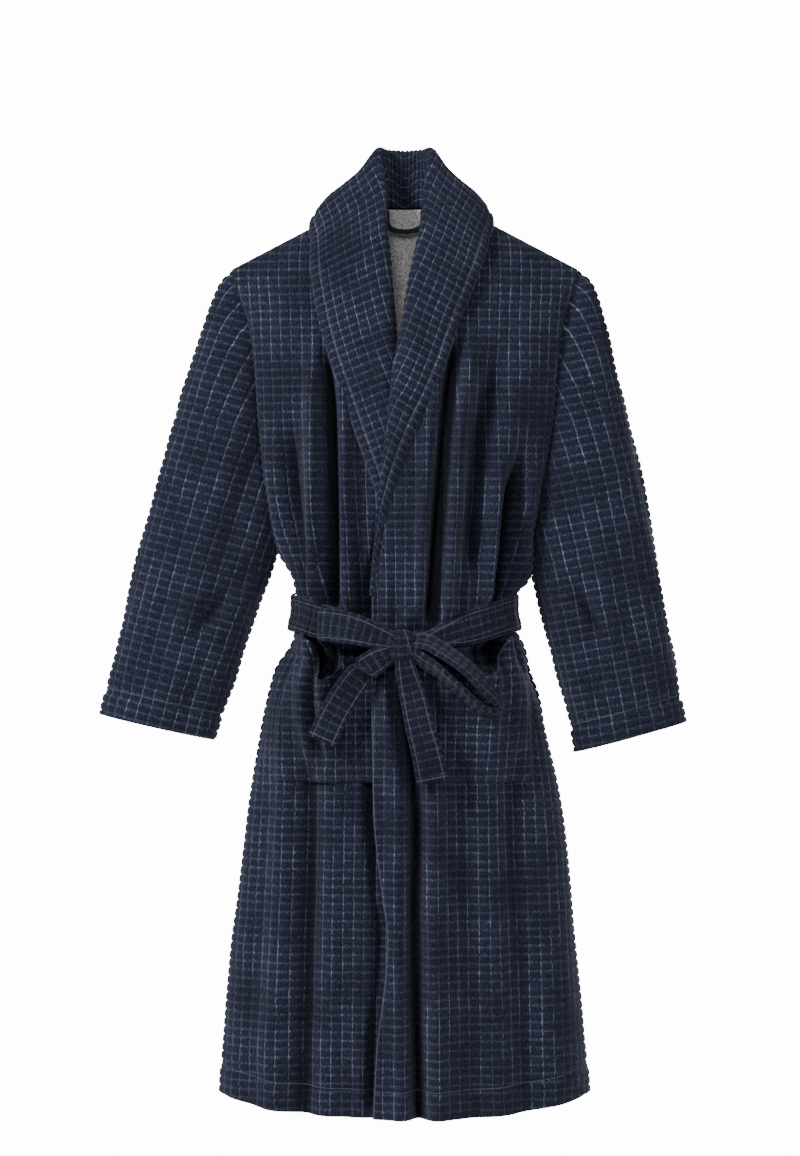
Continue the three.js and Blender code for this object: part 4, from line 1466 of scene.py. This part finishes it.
def add_floor(context):
    mesh = bpy.data.meshes.new("floor")
    half, level = FLOOR_HALF, HEM_Z - FLOOR_DROP
    corners = [(-half, -half, level), (half, -half, level), (half, half, level), (-half, half, level)]
    mesh.from_pydata(corners, [], [(0, 1, 2, 3)])
    pale = bpy.data.materials.new("pale_floor")
    pale.use_nodes = True
    shader = pale.node_tree.nodes["Principled BSDF"]
    shader.inputs["Base Color"].default_value = (0.9, 0.9, 0.9, 1)
    shader.inputs["Roughness"].default_value = 0.9
    mesh.materials.append(pale)
    floor = bpy.data.objects.new("floor", mesh)
    context.scene.collection.objects.link(floor)


def add_world(context):
    """White surroundings, brighter in the camera than they shine on the robe."""
    world = bpy.data.worlds.new("studio")
    world.use_nodes = True
    nodes, links = world.node_tree.nodes, world.node_tree.links
    nodes["Background"].inputs["Color"].default_value = (1, 1, 1, 1)
    strength = nodes.new("ShaderNodeMapRange")
    strength.inputs["To Min"].default_value = ROOM_LIGHT
    strength.inputs["To Max"].default_value = BACKDROP_LIGHT
    links.new(nodes.new("ShaderNodeLightPath").outputs["Is Camera Ray"], strength.inputs["Value"])
    links.new(strength.outputs["Result"], nodes["Background"].inputs["Strength"])
    context.scene.world = world


def look_at(thing, target):
    """Turns a light or camera so that it looks from where it stands at the target."""
    direction = Vector(target) - Vector(thing.location)
    thing.rotation_euler = direction.to_track_quat("-Z", "Y").to_euler()


def area_light(name, place, target, size, power):
    light = bpy.data.lights.new(name, "AREA")
    light.energy = power
    light.size = size
    holder = bpy.data.objects.new(name, light)
    holder.location = place
    bpy.context.scene.collection.objects.link(holder)
    look_at(holder, target)


def add_camera(context):
    """A long lens, level with the middle of the robe."""
    camera = bpy.data.cameras.new("camera")
    camera.lens = CAMERA_LENS
    camera.sensor_width = 36.0
    holder = bpy.data.objects.new("camera", camera)
    holder.location = CAMERA
    context.scene.collection.objects.link(holder)
    look_at(holder, (CAMERA[0], 0.0, CAMERA[2]))
    context.scene.camera = holder


class ROBE_PT_panel(bpy.types.Panel):
    """Lists the robe's settings and the operators that build it"""

    bl_label = "Bathrobe"
    bl_idname = "ROBE_PT_panel"
    bl_space_type = "VIEW_3D"
    bl_region_type = "UI"
    bl_category = "Robe"

    def draw(self, context):
        for group in (context.scene.robe_cloth, context.scene.robe_belt):
            for name in group.bl_rna.properties.keys():
                if name not in {"rna_type", "name"}:
                    self.layout.prop(group, name)
        for operator in OPERATORS:
            self.layout.operator(operator.bl_idname)


OPERATORS = (
    ROBE_OT_body, ROBE_OT_collar, ROBE_OT_sleeves, ROBE_OT_pockets, ROBE_OT_belt, ROBE_OT_tapes,
    ROBE_OT_stage,
)
CLASSES = (RobeClothSettings, RobeBeltSettings, *OPERATORS, ROBE_PT_panel)


def register():
    for cls in CLASSES:
        bpy.utils.register_class(cls)
    bpy.types.Scene.robe_cloth = PointerProperty(type=RobeClothSettings)
    bpy.types.Scene.robe_belt = PointerProperty(type=RobeBeltSettings)


def unregister():
    del bpy.types.Scene.robe_belt
    del bpy.types.Scene.robe_cloth
    for cls in reversed(CLASSES):
        bpy.utils.unregister_class(cls)


def main():
    register()
    for operator in OPERATORS:
        module, name = operator.bl_idname.split(".")
        getattr(getattr(bpy.ops, module), name)()


if __name__ == "__main__":
    main()
